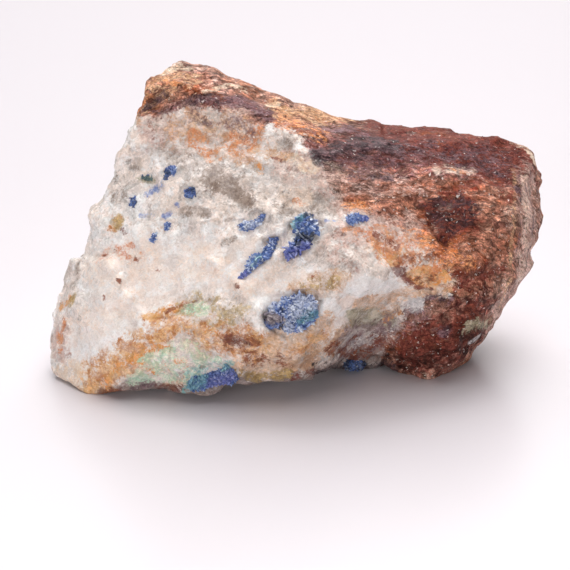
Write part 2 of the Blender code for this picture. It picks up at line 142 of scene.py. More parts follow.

# The stains and paler or darker grains of the rock, and painted shade where it lies in shade, by
# the layer that they belong to: their width in pixels, their strength, and the pixels that they
# run through. A path that closes on itself is an area, and its width is that of its soft edge.
STAINS = {
    "plum": {
        "top_band": (44, 1.0, [(324, 150), (360, 146), (410, 150), (460, 158), (508, 166)]),
        "peak_band": (14, 0.8, [(176, 106), (190, 104), (215, 99), (250, 106), (266, 117)]),
    },
    "ruddy": {
        "top_far_edge": (80, 1.0, [(398, 126), (430, 131), (470, 141), (510, 150)]),
        "foot_zone": (60, 1.0, [(425, 350), (452, 342), (474, 326)]),
        "low_zone": (36, 0.45, [(452, 286), (486, 276)]),
        "hollow_zone": (30, 0.9, [(438, 210), (462, 204), (466, 226)]),
    },
    # Painted shade: under, arch, flank_dark and flank_low darken the rock under its front edge, in the
    # arch and on the flank, where it lies in shade; the other strokes here darken patches of it.
    "shade": {
        "top_far": (70, 0.7, [(372, 126), (440, 134), (500, 148)]),
        "foot_core": (40, 1.0, [(418, 352), (450, 346), (468, 334)]),
        "low_speckled": (46, 0.45, [(455, 304), (490, 298)]),
        "smoky_window_dark": (15, 0.5, [(216, 176), (236, 188), (254, 202)]),
        "flank_dark": (12, 0.8, [(347, 328), (368, 328), (384, 330)]),
        "flank_low": (24, 1.0, [(346, 360), (372, 356), (398, 354)]),
        "under": (19, 1.0, [(100, 396), (150, 392), (200, 394), (240, 389), (300, 385), (335, 374)]),
        "arch": (22, 1.0, [(318, 372), (350, 372), (390, 372)]),
        "ridge_foot": (26, 0.65, [(302, 368), (326, 358), (342, 338)]),
        "green_smear_dark": (4, 0.9, [(142, 178), (150, 180)]),
    },
    "rosy": {
        "middle_zone": (34, 0.9, [(328, 184), (370, 178), (420, 176), (470, 180)]),
        "strip_zone": (26, 1.0, [(527, 166), (532, 240), (520, 286), (503, 316)]),
        "peak_slope": (16, 0.9, [(192, 74), (214, 83), (240, 92)]),
    },
    "copper": {
        "face_zone": (66, 1.0, [(404, 212), (470, 214), (486, 244), (462, 268)]),
        "face_zone_left": (22, 0.8, [(345, 204), (380, 206), (405, 216)]),
        "peak_zone": (30, 0.9, [(145, 96), (168, 82), (200, 88)]),
        "ridge_zone": (22, 0.8, [(264, 120), (300, 118), (340, 118)]),
    },
    "cream": {
        "peak_cap": (8, 1.0, [(163, 70), (180, 65), (190, 68)]),
        "peak_slope": (6, 0.6, [(205, 92), (228, 84), (246, 90)]),
        "spot": (6, 0.9, [(268, 105), (277, 105)]),
        "ledge_crumbs": (12, 0.7, [(292, 160), (312, 170)]),
        "rim": (7, 0.9, [(512, 142), (528, 150), (535, 162)]),
        "hollow_chip": (5, 1.0, [(432, 225), (436, 232)]),
        "amber_block_pale": (13, 0.55, [(424, 270), (440, 272), (450, 280)]),
        "corner": (26, 0.8, [(66, 378), (92, 384)]),
    },
    "tan": {
        "peak_block": (14, 0.8, [(160, 78), (164, 92)]),
        "peak": (24, 0.6, [(146, 98), (160, 84), (184, 80)]),
        "peak_corner": (8, 0.8, [(135, 115), (139, 122)]),
        "ridge_top": (26, 0.8, [(283, 113), (316, 114), (336, 118)]),
        "hollow_edge": (8, 0.9, [(273, 152), (280, 158), (290, 156)]),
        "upper": (46, 0.6, [(188, 126), (226, 134), (254, 150)]),
        "face_pale": (12, 0.5, [(436, 256), (452, 268)]),
        "face_edge": (16, 0.5, [(424, 244), (430, 260)]),
        "corner_line": (5, 0.6, [(513, 165), (514, 220), (511, 276), (500, 306)]),
        "amber_glow_pale": (12, 0.6, [(400, 254), (420, 262)]),
        "band": (12, 0.9, [(390, 298), (412, 291), (446, 291)]),
        "amber_stain_warm": (22, 0.7, [(302, 288), (318, 286), (336, 280)]),
        "flank": (18, 0.7, [(360, 304), (380, 300), (392, 310)]),
        "ochre_left_tail": (12, 0.9, [(88, 392), (104, 388)]),
        "pink_grains": (20, 0.55, [(160, 330), (180, 326), (196, 326)]),
        "ochre_right": (30, 0.95, [(256, 346), (286, 346), (308, 340)]),
        "ochre_right_end": (16, 0.8, [(314, 332), (328, 320)]),
        "mint_brown": (12, 0.7, [(168, 384), (184, 380)]),
        "brown_low": (26, 0.9, [(248, 366), (270, 366), (300, 362)]),
        "ridge_foot": (26, 0.7, [(304, 362), (324, 350), (336, 334)]),
    },
    "orange": {
        "peak": (7, 0.8, [(166, 82), (178, 84)]),
        "peak_rim": (5, 0.7, [(134, 112), (143, 104), (153, 95)]),
        "ridge_gold": (18, 0.6, [(284, 122), (304, 128), (322, 134)]),
        "rust_vein_left": (17, 0.6, [(191, 140), (204, 146), (217, 155)]),
        "rust_vein_right": (20, 0.65, [(234, 147), (248, 143), (257, 134)]),
        "spot": (7, 0.9, [(295, 200), (299, 203)]),
        "cream_patch_gold": (5, 0.9, [(452, 169), (466, 172)]),
        "face_gold": (16, 0.6, [(446, 246), (458, 262), (470, 262)]),
        "rust_freckles": (8, 0.8, [(346, 208), (358, 204), (370, 210)]),
        "mauve_quartz_gold": (26, 0.3, [(362, 232), (388, 246), (408, 252)]),
        "mauve_quartz_edge": (6, 0.7, [(345, 229), (366, 228), (384, 226)]),
        "fan": (36, 0.7, [(388, 244), (416, 250), (436, 262)]),
        "end_face_rust": (5, 0.6, [(66, 318), (62, 334), (60, 352)]),
        "end_face_gold": (8, 0.7, [(58, 336), (60, 350)]),
        "freckle_left": (6, 0.9, [(127, 244), (132, 246)]),
        "freckle_field": (24, 0.28, [(112, 254), (134, 256)]),
    },
    "rust": {
        "peak": (8, 0.7, [(184, 88), (196, 92)]),
        "cheek": (4, 0.7, [(150, 122), (152, 138)]),
        "hollow_edge_dark": (3, 0.9, [(273, 158), (282, 161)]),
        "top": (9, 1.0, [(422, 131), (440, 133), (456, 140)]),
        "top_low": (6, 0.7, [(436, 143), (456, 146)]),
        "hollow_rim": (13, 0.8, [(424, 216), (430, 230), (446, 246), (462, 238)]),
        "face_streak": (9, 0.5, [(455, 188), (480, 181), (500, 184)]),
        "fan": (16, 0.5, [(402, 264), (420, 258), (436, 256)]),
        "amber_block": (12, 0.5, [(406, 278), (418, 284), (432, 280)]),
        "flank": (26, 0.5, [(346, 352), (372, 350), (396, 340)]),
        "maroon_cluster": (18, 0.55, [(228, 340), (248, 346)]),
        "crack_brown": (3.5, 0.9, [(166, 312), (178, 306), (197, 301)]),
        "brown_low_red": (18, 0.42, [(252, 358), (280, 360)]),
        "low": (11, 0.8, [(330, 352), (338, 344)]),
    },
    "dark": {
        "peak_hollow": (8, 0.7, [(148, 108), (157, 101), (165, 94)]),
        "band": (9, 0.8, [(180, 105), (208, 99), (228, 100)]),
        "pink_vein_dots": (3, 0.9, [(220, 126), (222, 133)]),
        "top": (15, 0.9, [(316, 155), (345, 150), (375, 146), (402, 150)]),
        "top_low": (20, 0.6, [(340, 164), (376, 164), (402, 158)]),
        "top_right": (26, 0.5, [(410, 148), (450, 156), (500, 166)]),
        "host_dark_middle": (16, 0.45, [(356, 176), (390, 177)]),
        "strip_line": (2.5, 0.7, [(519, 172), (520, 230), (514, 284)]),
        "strip_line_right": (2.5, 0.7, [(530, 170), (533, 230), (526, 268)]),
        "strip_line_edge": (2.5, 0.5, [(537, 190), (539, 240)]),
        "strip_spot_left": (6, 1.0, [(516, 187), (518, 190)]),
        "strip_spot_right": (4, 1.0, [(525, 188), (526, 190)]),
        "facets": (12, 0.6, [(428, 298), (448, 300)]),
        "foot_spot": (10, 0.9, [(438, 330), (446, 331)]),
        "under_edge_middle": (7, 0.8, [(134, 388), (151, 386)]),
    },
    "mauve": {
        "dark_band_left": (8, 0.6, [(146, 111), (176, 109)]),
        "purple_band": (16, 0.8, [(228, 101), (250, 104), (266, 115)]),
        "upper": (18, 0.4, [(196, 118), (230, 124), (250, 134)]),
        "purple_right": (16, 0.7, [(440, 150), (480, 150), (506, 162)]),
        "ridge": (12, 0.6, [(325, 130), (352, 128), (366, 136)]),
        "flank_brown": (40, 0.55, [(352, 342), (376, 334), (404, 318)]),
    },
    "black": {
        "peak_crack": (3, 1.0, [(188, 97), (212, 95)]),
        "dark_top": (18, 0.6, [(316, 157), (334, 150), (356, 144), (392, 146)]),
        "hollow_black_top": (8, 0.5, [(420, 206), (440, 200)]),
        "hollow": (28, 0.75, [(442, 214), (456, 220), (468, 208)]),
        "hollow_black_low": (15, 0.5, [(438, 230), (448, 242)]),
        # Painted shadow: a black stroke in the arch, where the rock lies in shade.
        "arch": (14, 0.9, [(322, 378), (350, 375), (388, 375)]),
        "nodule_dark": (4, 0.7, [(314, 364), (326, 362)]),
    },
    "maroon": {
        "ridge_rust_spots": (6, 0.8, [(294, 129), (313, 131)]),
        "far": (66, 0.75, [(390, 127), (416, 130), (452, 139), (500, 149)]),
        "face": (22, 0.5, [(474, 172), (496, 180), (508, 196)]),
        "right_low": (7, 0.7, [(462, 186), (490, 180), (504, 172)]),
        "hollow_field": (9, 0.85, [
            (424, 207), (436, 197), (464, 192), (476, 202), (466, 212), (470, 224), (452, 236),
            (446, 248), (436, 238), (428, 226), (434, 214), (424, 207),
        ]),
        "red_seam": (6, 0.8, [(462, 284), (482, 278), (504, 268)]),
        "red_triangle": (7, 0.9, [(454, 278), (465, 281)]),
        "mauve_lens": (7, 0.55, [(377, 233), (397, 247)]),
        "amber_block_line": (3, 0.9, [(404, 278), (416, 287), (432, 289)]),
        "rust_triangle": (3, 1.0, [(389, 266), (409, 265), (405, 279), (396, 276), (389, 266)]),
        "red_grain": (7, 1.0, [(377, 344), (390, 341), (404, 342)]),
        "foot": (30, 0.6, [(414, 342), (436, 340)]),
        "cluster": (9, 0.8, [(229, 340), (240, 345), (247, 344)]),
        "brown_edge": (9, 0.7, [(292, 378), (314, 372)]),
        "under_edge_left": (10, 1.0, [(103, 391), (121, 393)]),
        "under_edge_right": (9, 0.8, [(160, 389), (180, 388)]),
        "freckle_top": (5, 0.9, [(123, 231), (125, 233)]),
    },
    "pink": {
        "cheek": (13, 0.8, [(141, 122), (145, 140)]),
        "vein": (32, 0.75, [(186, 124), (214, 122), (236, 122)]),
        "upper": (48, 0.6, [(164, 126), (214, 130), (248, 142)]),
        "upper_right": (34, 0.6, [(290, 166), (326, 184)]),
        "host_pale": (14, 0.3, [(345, 176), (380, 180), (404, 176)]),
        "host_pale_edge": (18, 0.7, [(334, 206), (362, 213), (392, 222)]),
        "host_pale_low": (12, 0.4, [(340, 194), (388, 192), (430, 188)]),
        "hollow_side": (16, 0.5, [(398, 192), (424, 194)]),
        "strip_low": (16, 0.6, [(516, 290), (500, 316), (488, 330)]),
        "strip_grey": (28, 0.9, [(526, 172), (530, 240), (521, 286), (503, 318)]),
        "mauve_quartz": (30, 0.95, [(352, 234), (384, 238), (412, 234)]),
        "clear_quartz": (34, 0.4, [(334, 240), (356, 262)]),
        "end_face": (5, 0.7, [
            (64, 316), (71, 330), (71, 356), (65, 367), (52, 356), (49, 338), (64, 316),
        ]),
    },
    "smoky": {
        "grey_window": (10, 0.9, [(156, 127), (170, 129)]),
        "hollow_grey": (8, 0.6, [
            (272, 150), (276, 138), (288, 132), (296, 138), (292, 150), (280, 156), (272, 150),
        ]),
        "window": (4, 1.0, [
            (199, 181), (206, 170), (219, 163), (224, 175), (239, 186), (257, 200), (255, 206),
            (241, 207), (231, 197), (214, 190), (199, 181),
        ]),
        "low": (14, 0.75, [(184, 213), (203, 213)]),
        "top": (16, 0.6, [(164, 146), (186, 156)]),
        "upper": (40, 0.3, [(166, 140), (200, 152), (234, 160)]),
        "upper_right": (36, 0.5, [(258, 162), (300, 168), (330, 180)]),
        "around": (44, 0.42, [(196, 172), (230, 190), (266, 208)]),
        "behind": (28, 0.65, [(290, 206), (332, 206)]),
        "side": (9, 0.5, [(222, 243), (234, 240)]),
        "clear_quartz": (40, 0.48, [(330, 246), (350, 258)]),
        "mint_grey": (9, 0.6, [(176, 376), (190, 372)]),
        "edge_grey": (7, 0.7, [(73, 288), (78, 270), (84, 254)]),
        "grey_left": (24, 0.4, [(118, 192), (130, 168)]),
    },
    "white": {
        "ledge": (12, 0.6, [(271, 128), (266, 142), (256, 156)]),
        "milky_wedge": (7, 1.0, [
            (343, 284), (362, 277), (386, 280), (410, 286), (388, 292), (358, 296), (343, 292),
            (343, 284),
        ]),
        "pale_edge": (6, 0.8, [(440, 294), (450, 296)]),
        "patch": (6, 1.0, [(319, 298), (334, 297), (342, 308), (336, 318), (320, 316), (319, 298)]),
        "corner": (44, 0.6, [(76, 352), (120, 338)]),
        "left": (60, 0.5, [(96, 310), (100, 260), (124, 214)]),
        "end_face": (6, 0.8, [(68, 324), (68, 340)]),
        "middle": (30, 0.5, [(176, 246), (206, 240)]),
        "centre": (22, 0.6, [(166, 278), (186, 276)]),
        "low": (30, 0.5, [(110, 330), (150, 318)]),
        "right": (20, 0.6, [(256, 296), (262, 318)]),
    },
    "amber": {
        "small": (7, 0.9, [(259, 167), (262, 173)]),
        "glow": (15, 1.0, [(380, 254), (396, 261)]),
        "block": (5, 1.0, [
            (410, 268), (424, 264), (449, 272), (452, 281), (432, 288), (414, 286), (404, 276),
            (410, 268),
        ]),
        "ochre_streak": (5, 0.9, [(385, 320), (401, 313)]),
        "ochre_left_rich": (14, 0.6, [(108, 384), (126, 364), (150, 348)]),
        "ochre_middle_rich": (10, 0.4, [(200, 330), (222, 336), (240, 334)]),
        "crack_ochre": (6, 0.65, [(151, 320), (160, 312), (176, 309), (185, 304)]),
        "mint_ochre": (14, 0.5, [(146, 372), (166, 366), (184, 362)]),
        "mustard_spot": (9, 0.8, [(161, 348), (171, 349)]),
        "edge": (9, 0.7, [(60, 306), (70, 299)]),
    },
    "peach": {
        "orange_halo": (18, 0.8, [(292, 196), (302, 200)]),
        "cream_patch": (11, 0.6, [(438, 169), (472, 171)]),
        "hollow_cream": (7, 1.0, [(441, 208), (451, 208)]),
        "strip_pale": (12, 0.4, [(524, 176), (527, 240), (519, 280)]),
        "pink_fan": (14, 0.5, [(370, 250), (392, 246), (416, 250)]),
        "left": (44, 0.5, [(100, 268), (142, 266)]),
        "low": (40, 0.5, [(84, 320), (130, 306)]),
        "middle": (34, 0.5, [(176, 272), (212, 264), (244, 290)]),
        "right": (26, 0.5, [(262, 285), (290, 270)]),
    },
    "grey": {
        "bluish_facet": (4, 1.0, [(408, 300), (418, 296), (425, 299), (423, 311), (411, 313), (408, 300)]),
        "pale_facet": (4, 0.7, [(346, 334), (366, 334), (368, 345), (350, 354), (343, 352), (346, 334)]),
        "foot_edge": (7, 0.5, [(468, 344), (480, 336)]),
        "speckled_nodule": (9, 0.9, [(316, 360), (326, 357)]),
    },
    "olive": {
        "amber_stain": (12, 0.55, [(306, 286), (320, 285), (334, 281)]),
        "crack_gold": (26, 0.45, [(186, 306), (214, 310), (240, 312)]),
        "brown_low_dark": (12, 0.8, [(240, 374), (262, 378), (286, 376)]),
        "edge": (6, 0.9, [(70, 304), (74, 296)]),
        "amber_grain": (12, 0.5, [(112, 228), (119, 219)]),
    },
    "sage": {
        "flank": (20, 0.9, [(352, 320), (370, 314), (390, 318)]),
        "foot": (14, 0.7, [(468, 328), (486, 322)]),
        "green_smear": (7, 1.0, [(139, 178), (152, 180)]),
    },
    "ochre": {
        "left": (38, 1.0, [(96, 388), (115, 370), (136, 354)]),
        "left_top": (20, 0.85, [(136, 348), (156, 338), (180, 328)]),
        "middle": (34, 0.9, [(206, 340), (226, 334), (248, 342)]),
        "right_rich": (16, 0.5, [(292, 350), (312, 342), (324, 330)]),
        "crack_ochre_glow": (16, 0.6, [(150, 322), (166, 314), (184, 309)]),
        "amber_grain": (7, 0.8, [(113, 215), (121, 215), (123, 223), (116, 230), (106, 230), (113, 215)]),
    },
    "mint": {
        "crack": (11, 1.0, [(187, 310), (205, 308)]),
        "main": (24, 0.7, [(150, 366), (170, 358), (188, 352), (197, 364)]),
        "low": (12, 0.75, [(134, 380), (165, 376), (196, 374)]),
        "cyan_grain": (7, 1.0, [(213, 359), (218, 361)]),
    },
    "teal": {
        "mint": (10, 0.5, [(180, 374), (200, 370), (218, 366)]),
        "left": (12, 0.9, [(186, 388), (204, 382)]),
        "right": (9, 0.8, [(219, 368), (231, 363)]),
    },
    "blue": {
        "smear_1": (6, 0.5, [(141, 215), (152, 215)]),
        "smear_2": (9, 0.45, [(146, 194), (151, 191)]),
        "smear_3": (5, 0.9, [(176, 205), (178, 206)]),
        "smear_4": (9, 0.7, [(156, 189), (162, 184)]),
        "smear_5": (6, 0.8, [(164, 215), (168, 213)]),
        "dash": (3, 0.8, [(325, 221), (337, 221)]),
    },
}

# Small freckles of rust on the vein, by their pixels.
FRECKLES = [
    (114, 251), (136, 259), (126, 268), (105, 255), (119, 281), (104, 298), (158, 269), (236, 286),
    (313, 277), (333, 281),
]
FRECKLE_WIDTH = 3.5
FRECKLE_STRENGTH = 0.85
for number, (across, down) in enumerate(FRECKLES, 1):
    path = [(across, down), (across + 2, down + 1)]
    STAINS["rust"][f"freckle_{number}"] = (FRECKLE_WIDTH, FRECKLE_STRENGTH, path)

# The outline of each crystal group on the front, in pixels, and how far its crust stands out.
CRUSTS = {
    "linarite_rosette": (1.3, [
        (266, 309), (270, 301), (279, 300), (288, 294), (300, 291), (312, 295), (319, 304), (320, 314),
        (315, 325), (305, 331), (296, 335), (286, 334), (281, 329), (272, 330), (265, 321),
    ]),
    "linarite_cluster": (1.2, [
        (291, 226), (294, 217), (301, 213), (311, 215), (319, 223), (320, 232), (313, 240), (311, 249),
        (301, 255), (295, 260), (286, 262), (283, 255), (285, 249), (293, 243), (295, 237),
    ]),
    "linarite_sliver": (0.6, [
        (274, 237), (278, 235), (280, 238), (276, 249), (272, 259), (264, 263), (256, 269), (248, 276),
        (241, 281), (237, 277), (246, 268), (250, 256), (262, 252), (268, 242),
    ]),
    "linarite_patch": (0.5, [
        (236, 226), (243, 221), (254, 221), (260, 217), (262, 213), (267, 214), (265, 220), (260, 226),
        (254, 231), (243, 232),
    ]),
    "linarite_wedge": (0.5, [(344, 221), (350, 214), (360, 215), (373, 219), (361, 223), (350, 227)]),
    "linarite_speck_1": (0.12, [(184, 191), (190, 187), (196, 189), (196, 196), (191, 199), (185, 197)]),
    "linarite_speck_2": (0.12, [
        (165, 168), (171, 165), (177, 168), (176, 174), (169, 176), (167, 181), (163, 180), (165, 173),
    ]),
    "linarite_speck_3": (0.10, [(164, 231), (164, 224), (168, 221), (171, 224), (168, 231)]),
    "linarite_speck_4": (0.12, [(149, 240), (152, 233), (157, 233), (156, 240), (152, 243)]),
    "linarite_speck_5": (0.10, [(129, 205), (131, 198), (135, 196), (136, 202), (133, 207)]),
    "linarite_speck_6": (0.10, [(141, 178), (145, 175), (153, 178), (152, 181), (145, 181)]),
    "linarite_hem": (0.5, [
        (187, 384), (190, 376), (203, 374), (218, 369), (226, 363), (232, 367), (236, 372), (240, 378),
        (232, 384), (215, 386), (203, 391), (190, 391),
    ]),
    "linarite_recess": (0.5, [(342, 364), (347, 359), (360, 360), (368, 364), (362, 369), (347, 369)]),
}

# The colours that crystals of a group differ in, with their painted highlights and shade, in the same
# terms as the rock's stains.
CRYSTAL_STAINS = {
    # Paler crystals in part, and in part painted highlights where a group catches the light, as in the
    # patch's middle.
    "pale": {
        "rosette": (24, 0.9, [(295, 307), (304, 306)]),
        "rosette_pale_low": (14, 0.9, [(286, 320), (289, 328)]),
        "rosette_pale_left": (6, 0.8, [(270, 306), (277, 302)]),
        "patch": (9, 0.8, [(247, 226), (256, 224)]),
        "cluster": (6, 0.8, [(296, 216), (306, 214), (314, 222)]),
    },
    "teal": {
        "rosette": (14, 1.0, [(303, 318), (311, 315)]),
        "cluster": (12, 1.0, [(295, 223), (300, 219)]),
        "sliver_cyan": (6, 0.6, [(262, 256), (252, 264)]),
        "hem": (15, 1.0, [(187, 386), (201, 380)]),
        "hem_teal_right": (8, 1.0, [(222, 367), (228, 365)]),
    },
    "brown": {
        "rosette": (15, 1.0, [(269, 318), (276, 318)]),
    },
    "black": {
        "rosette": (6, 1.0, [(281, 310), (280, 328)]),
        "cluster_dark": (12, 1.0, [(300, 239), (310, 238)]),
        "cluster_dark_top": (8, 0.6, [(304, 216), (310, 217)]),
        "speck_1_dark": (12, 0.5, [(188, 192), (193, 195)]),
        "speck_2_dark": (12, 0.5, [(165, 179), (167, 176)]),
        "speck_5_dark": (12, 0.5, [(130, 203), (133, 200)]),
        # Painted shade on the crust deep in the recess under the arch.
        "recess_shade": (12, 0.7, [(344, 364), (366, 365)]),
    },
    "violet": {
        "cluster": (18, 0.9, [(288, 256), (306, 248)]),
        "sliver": (7, 0.8, [(240, 278), (246, 273)]),
        "wedge": (6, 0.8, [(362, 219), (373, 219)]),
        "hem": (13, 0.8, [(210, 381), (234, 377)]),
    },
    "green": {
        "speck_6": (9, 1.0, [(143, 178), (152, 179)]),
    },
}


# Colours and node trees


def tint(red, green, blue):
    """A colour by its display values from 0 to 255, as the renderer's own values."""
    shares = [value / 255.0 for value in (red, green, blue)]
    return (*[((share + 0.055) / 1.055) ** 2.4 for share in shares], 1.0)


def feed(tree, socket, value):
    """Links a socket to another's value, or sets its own."""
    if isinstance(value, bpy.types.NodeSocket):
        tree.links.new(value, socket)
    else:
        socket.default_value = value


def add_node(tree, kind, inputs=None, **settings):
    """Adds a node, sets its properties, and sets or links its inputs."""
    made = tree.nodes.new(kind)
    for name, value in settings.items():
        setattr(made, name, value)
    for name, value in (inputs or {}).items():
        feed(tree, made.inputs[name], value)
    return made


def reckon(tree, operation, *terms, clamp=False):
    """A Math node's value."""
    inputs = dict(enumerate(terms))
    return add_node(tree, "ShaderNodeMath", inputs, operation=operation, use_clamp=clamp).outputs[0]


def reckon_vector(tree, operation, *terms):
    """A Vector Math node's vector, or its value for a dot product."""
    made = add_node(tree, "ShaderNodeVectorMath", dict(enumerate(terms)), operation=operation)
    return made.outputs["Value" if operation == "DOT_PRODUCT" else "Vector"]


def scaled(tree, vector, factor):
    """A vector times a number."""
    inputs = {0: vector, "Scale": factor}
    return add_node(tree, "ShaderNodeVectorMath", inputs, operation="SCALE").outputs["Vector"]


def blend_colors(tree, share, first, second, way="MIX"):
    """A Mix node's colour."""
    inputs = {0: share, 6: first, 7: second}
    return add_node(tree, "ShaderNodeMix", inputs, data_type="RGBA", blend_type=way).outputs[2]


def blend_values(tree, share, first, second):
    """A Mix node's value."""
    return add_node(tree, "ShaderNodeMix", {0: share, 2: first, 3: second}).outputs[0]


def remap(tree, value, low, high, to_low=0.0, to_high=1.0, smooth=True):
    """A Map Range node's value, held between its ends."""
    inputs = {0: value, 1: low, 2: high, 3: to_low, 4: to_high}
    way = "SMOOTHSTEP" if smooth else "LINEAR"
    return add_node(tree, "ShaderNodeMapRange", inputs, interpolation_type=way).outputs[0]


def shaded(tree, color, value, low, high):
    """A colour times a number that goes from low to high as a value goes from 0 to 1."""
    return scaled(tree, color, remap(tree, value, 0.0, 1.0, low, high, smooth=False))


def read_layer(tree, name):
    """The value that a mesh holds for a layer, in a material."""
    return add_node(tree, "ShaderNodeAttribute", attribute_name=name).outputs["Fac"]


def new_tree(name, kind, inputs, outputs):
    """A node tree with named inputs and outputs, and its two end nodes."""
    tree = bpy.data.node_groups.new(name, kind)
    for way, sockets in (("INPUT", inputs), ("OUTPUT", outputs)):
        for label, (socket, value) in sockets.items():
            made = tree.interface.new_socket(label, in_out=way, socket_type="NodeSocket" + socket)
            if value is not None:
                made.default_value = value
    return tree, add_node(tree, "NodeGroupInput"), add_node(tree, "NodeGroupOutput")


def use_group(tree, group, inputs):
    """Places a shader or geometry group in a tree."""
    kind = "GeometryNodeGroup" if tree.bl_idname == "GeometryNodeTree" else "ShaderNodeGroup"
    return add_node(tree, kind, inputs, node_tree=group)


def named_value(tree, name):
    """The value that a geometry holds for a layer, in Geometry Nodes."""
    made = add_node(tree, "GeometryNodeInputNamedAttribute", {"Name": name}, data_type="FLOAT")
    return made.outputs["Attribute"]


def stored_value(tree, geometry, name, value, domain):
    """A geometry that holds a value for each of its points or instances."""
    kind = "GeometryNodeStoreNamedAttribute"
    inputs = {"Geometry": geometry, "Name": name, "Value": value}
    return add_node(tree, kind, inputs, data_type="FLOAT", domain=domain).outputs[0]


def blurred(tree, value, steps, data_type):
    """The mean of a value, or of a vector, round each point."""
    made = add_node(tree, "GeometryNodeBlurAttribute", {"Iterations": steps}, data_type=data_type)
    kind = "VECTOR" if data_type == "FLOAT_VECTOR" else "VALUE"
    value_in = [socket for socket in made.inputs if socket.type == kind and socket.name == "Value"][0]
    tree.links.new(value, value_in)
    return [socket for socket in made.outputs if socket.type == kind][0]


# Meshes


def new_object(name, data):
    """An object in the scene, of a mesh, a lamp or a camera."""
    obj = bpy.data.objects.new(name, data)
    bpy.context.scene.collection.objects.link(obj)
    return obj


def mesh_from(shape, name):
    """A mesh of a bmesh, which is freed."""
    mesh = bpy.data.meshes.new(name)
    shape.to_mesh(mesh)
    shape.free()
    return mesh


def evaluated_mesh(obj):
    """A plain mesh of an object as its modifiers leave it."""
    bpy.context.view_layer.update()
    graph = bpy.context.evaluated_depsgraph_get()
    return bpy.data.meshes.new_from_object(obj.evaluated_get(graph))


def apply_modifiers(obj):
    mesh = evaluated_mesh(obj)
    obj.modifiers.clear()
    obj.data = mesh


def points_of(mesh):
    flat = np.empty(len(mesh.vertices) * 3, np.float32)
    mesh.vertices.foreach_get("co", flat)
    return flat.reshape(-1, 3).astype(float)


def rest_on_floor(mesh):
    """Lifts what a mesh has under the floor up to it, and gives the mesh's points."""
    points = points_of(mesh)
    points[:, 2] = np.maximum(points[:, 2], 0.0)
    mesh.vertices.foreach_set("co", points.astype(np.float32).ravel())
    mesh.update()
    return points


def normals_of(mesh):
    flat = np.empty(len(mesh.vertices) * 3, np.float32)
    mesh.vertex_normals.foreach_get("vector", flat)
    return flat.reshape(-1, 3).astype(float)


def triangles_of(mesh):
    """The points at the corners of each triangle."""
    corners = np.empty(len(mesh.loops), np.int32)
    mesh.loops.foreach_get("vertex_index", corners)
    return corners.reshape(-1, 3)


def tree_of(mesh):
    """A tree for casting sight lines on a mesh."""
    faces = [tuple(face.vertices) for face in mesh.polygons]
    return BVHTree.FromPolygons([point.co for point in mesh.vertices], faces)


def store_layer(mesh, name, values):
    layer = mesh.attributes.new(name, "FLOAT", "POINT")
    layer.data.foreach_set("value", values.astype(np.float32))


def set_input(modifier, name, value):
    """Sets a modifier's input by the identifier of its socket."""
    for item in modifier.node_group.interface.items_tree:
        if item.item_type == "SOCKET" and item.in_out == "INPUT" and item.name == name:
            modifier[item.identifier] = value


# The camera's sight lines


def sight_line(pixel):
    """The direction in which the camera sees a pixel."""
    half = FRAME_SIDE / 2.0
    spread = SENSOR / LENS / FRAME_SIDE
    across = (pixel[0] - half) * spread
    up = (half - pixel[1]) * spread
    return (SIGHT + across * RIGHT + up * UP).normalized()


# Where a sight line that misses the rock is tried for its nearest point, in millimetres before
# and behind the depth that the camera aims at.
SIGHT_STEPS = range(-24, 32, 2)


def spot_under(tree, pixel):
    """The point of the rock that a pixel shows, or the nearest to its sight line."""
    direction = sight_line(pixel)
    hit = tree.ray_cast(EYE, direction)[0]
    if hit is None:
        depths = [CAMERA_REACH + step * MM for step in SIGHT_STEPS]
        spots = [tree.find_nearest(EYE + direction * depth) for depth in depths]
        hit = min(spots, key=lambda spot: spot[3])[0]
    return hit


def pixels_of(points):
    """Where the camera sees points, in pixels."""
    rays = points - np.array(EYE)
    depth = rays @ np.array(SIGHT)
    half = FRAME_SIDE / 2.0
    spread = SENSOR / LENS / FRAME_SIDE
    across = half + rays @ np.array(RIGHT) / depth / spread
    down = half - rays @ np.array(UP) / depth / spread
    return np.stack([across, down], axis=1)


# A stain reaches this much further along the sight lines than across them. It covers its own
# edge by EDGE_COVER of its strength. The edge of one as wide as WIDE_STROKE pixels or more
# wanders by noises of these sizes and reaches.
DEPTH_REACH = 3.5
AREA_DEPTH = 6.0 * MM
EDGE_COVER = 0.5
EDGE_SLOPE = 1.2
WIDE_STROKE = 30.0
WANDERS = ((3.0 * MM, 1.3 * MM), (1.0 * MM, 0.7 * MM))
WANDER_SEED = 3
FORM_WANDER = 0.6


def in_sight(points):
    """Points by how far they lie right, up and, drawn together, away from the camera."""
    axes = np.array([RIGHT, UP, SIGHT / DEPTH_REACH])
    return np.asarray(points) @ axes.T


def distance_to_path(points, path):
    """The distance from each point to a path of straight runs, and its nearest spot there."""
    best = np.full(len(points), np.inf)
    nearest = np.zeros_like(points)
    for start, end in zip(path[:-1], path[1:]):
        run = end - start
        share = np.clip((points - start) @ run / (run @ run), 0.0, 1.0)
        spots = start + share[:, None] * run
        gap = np.linalg.norm(points - spots, axis=1)
        closer = gap < best
        best[closer] = gap[closer]
        nearest[closer] = spots[closer]
    return best, nearest


def within(spots, outline):
    """Which flat spots lie inside a closed outline."""
    inside = np.zeros(len(spots), bool)
    for start, end in zip(outline[:-1], outline[1:]):
        crossed = (start[1] > spots[:, 1]) != (end[1] > spots[:, 1])
        rise = end[1] - start[1] if end[1] != start[1] else 1.0
        across = start[0] + (spots[:, 1] - start[1]) / rise * (end[0] - start[0])
        inside ^= crossed & (spots[:, 0] < across)
    return inside


def wander(points):
    """Noise that moves points about, which makes the edge of what is laid over them ragged."""
    noise.seed_set(WANDER_SEED)
    moved = np.zeros_like(points)
    for size, reach in WANDERS:
        shifts = [noise.noise_vector(Vector(point) / size) for point in points]
        moved += reach * np.array(shifts)
    return moved


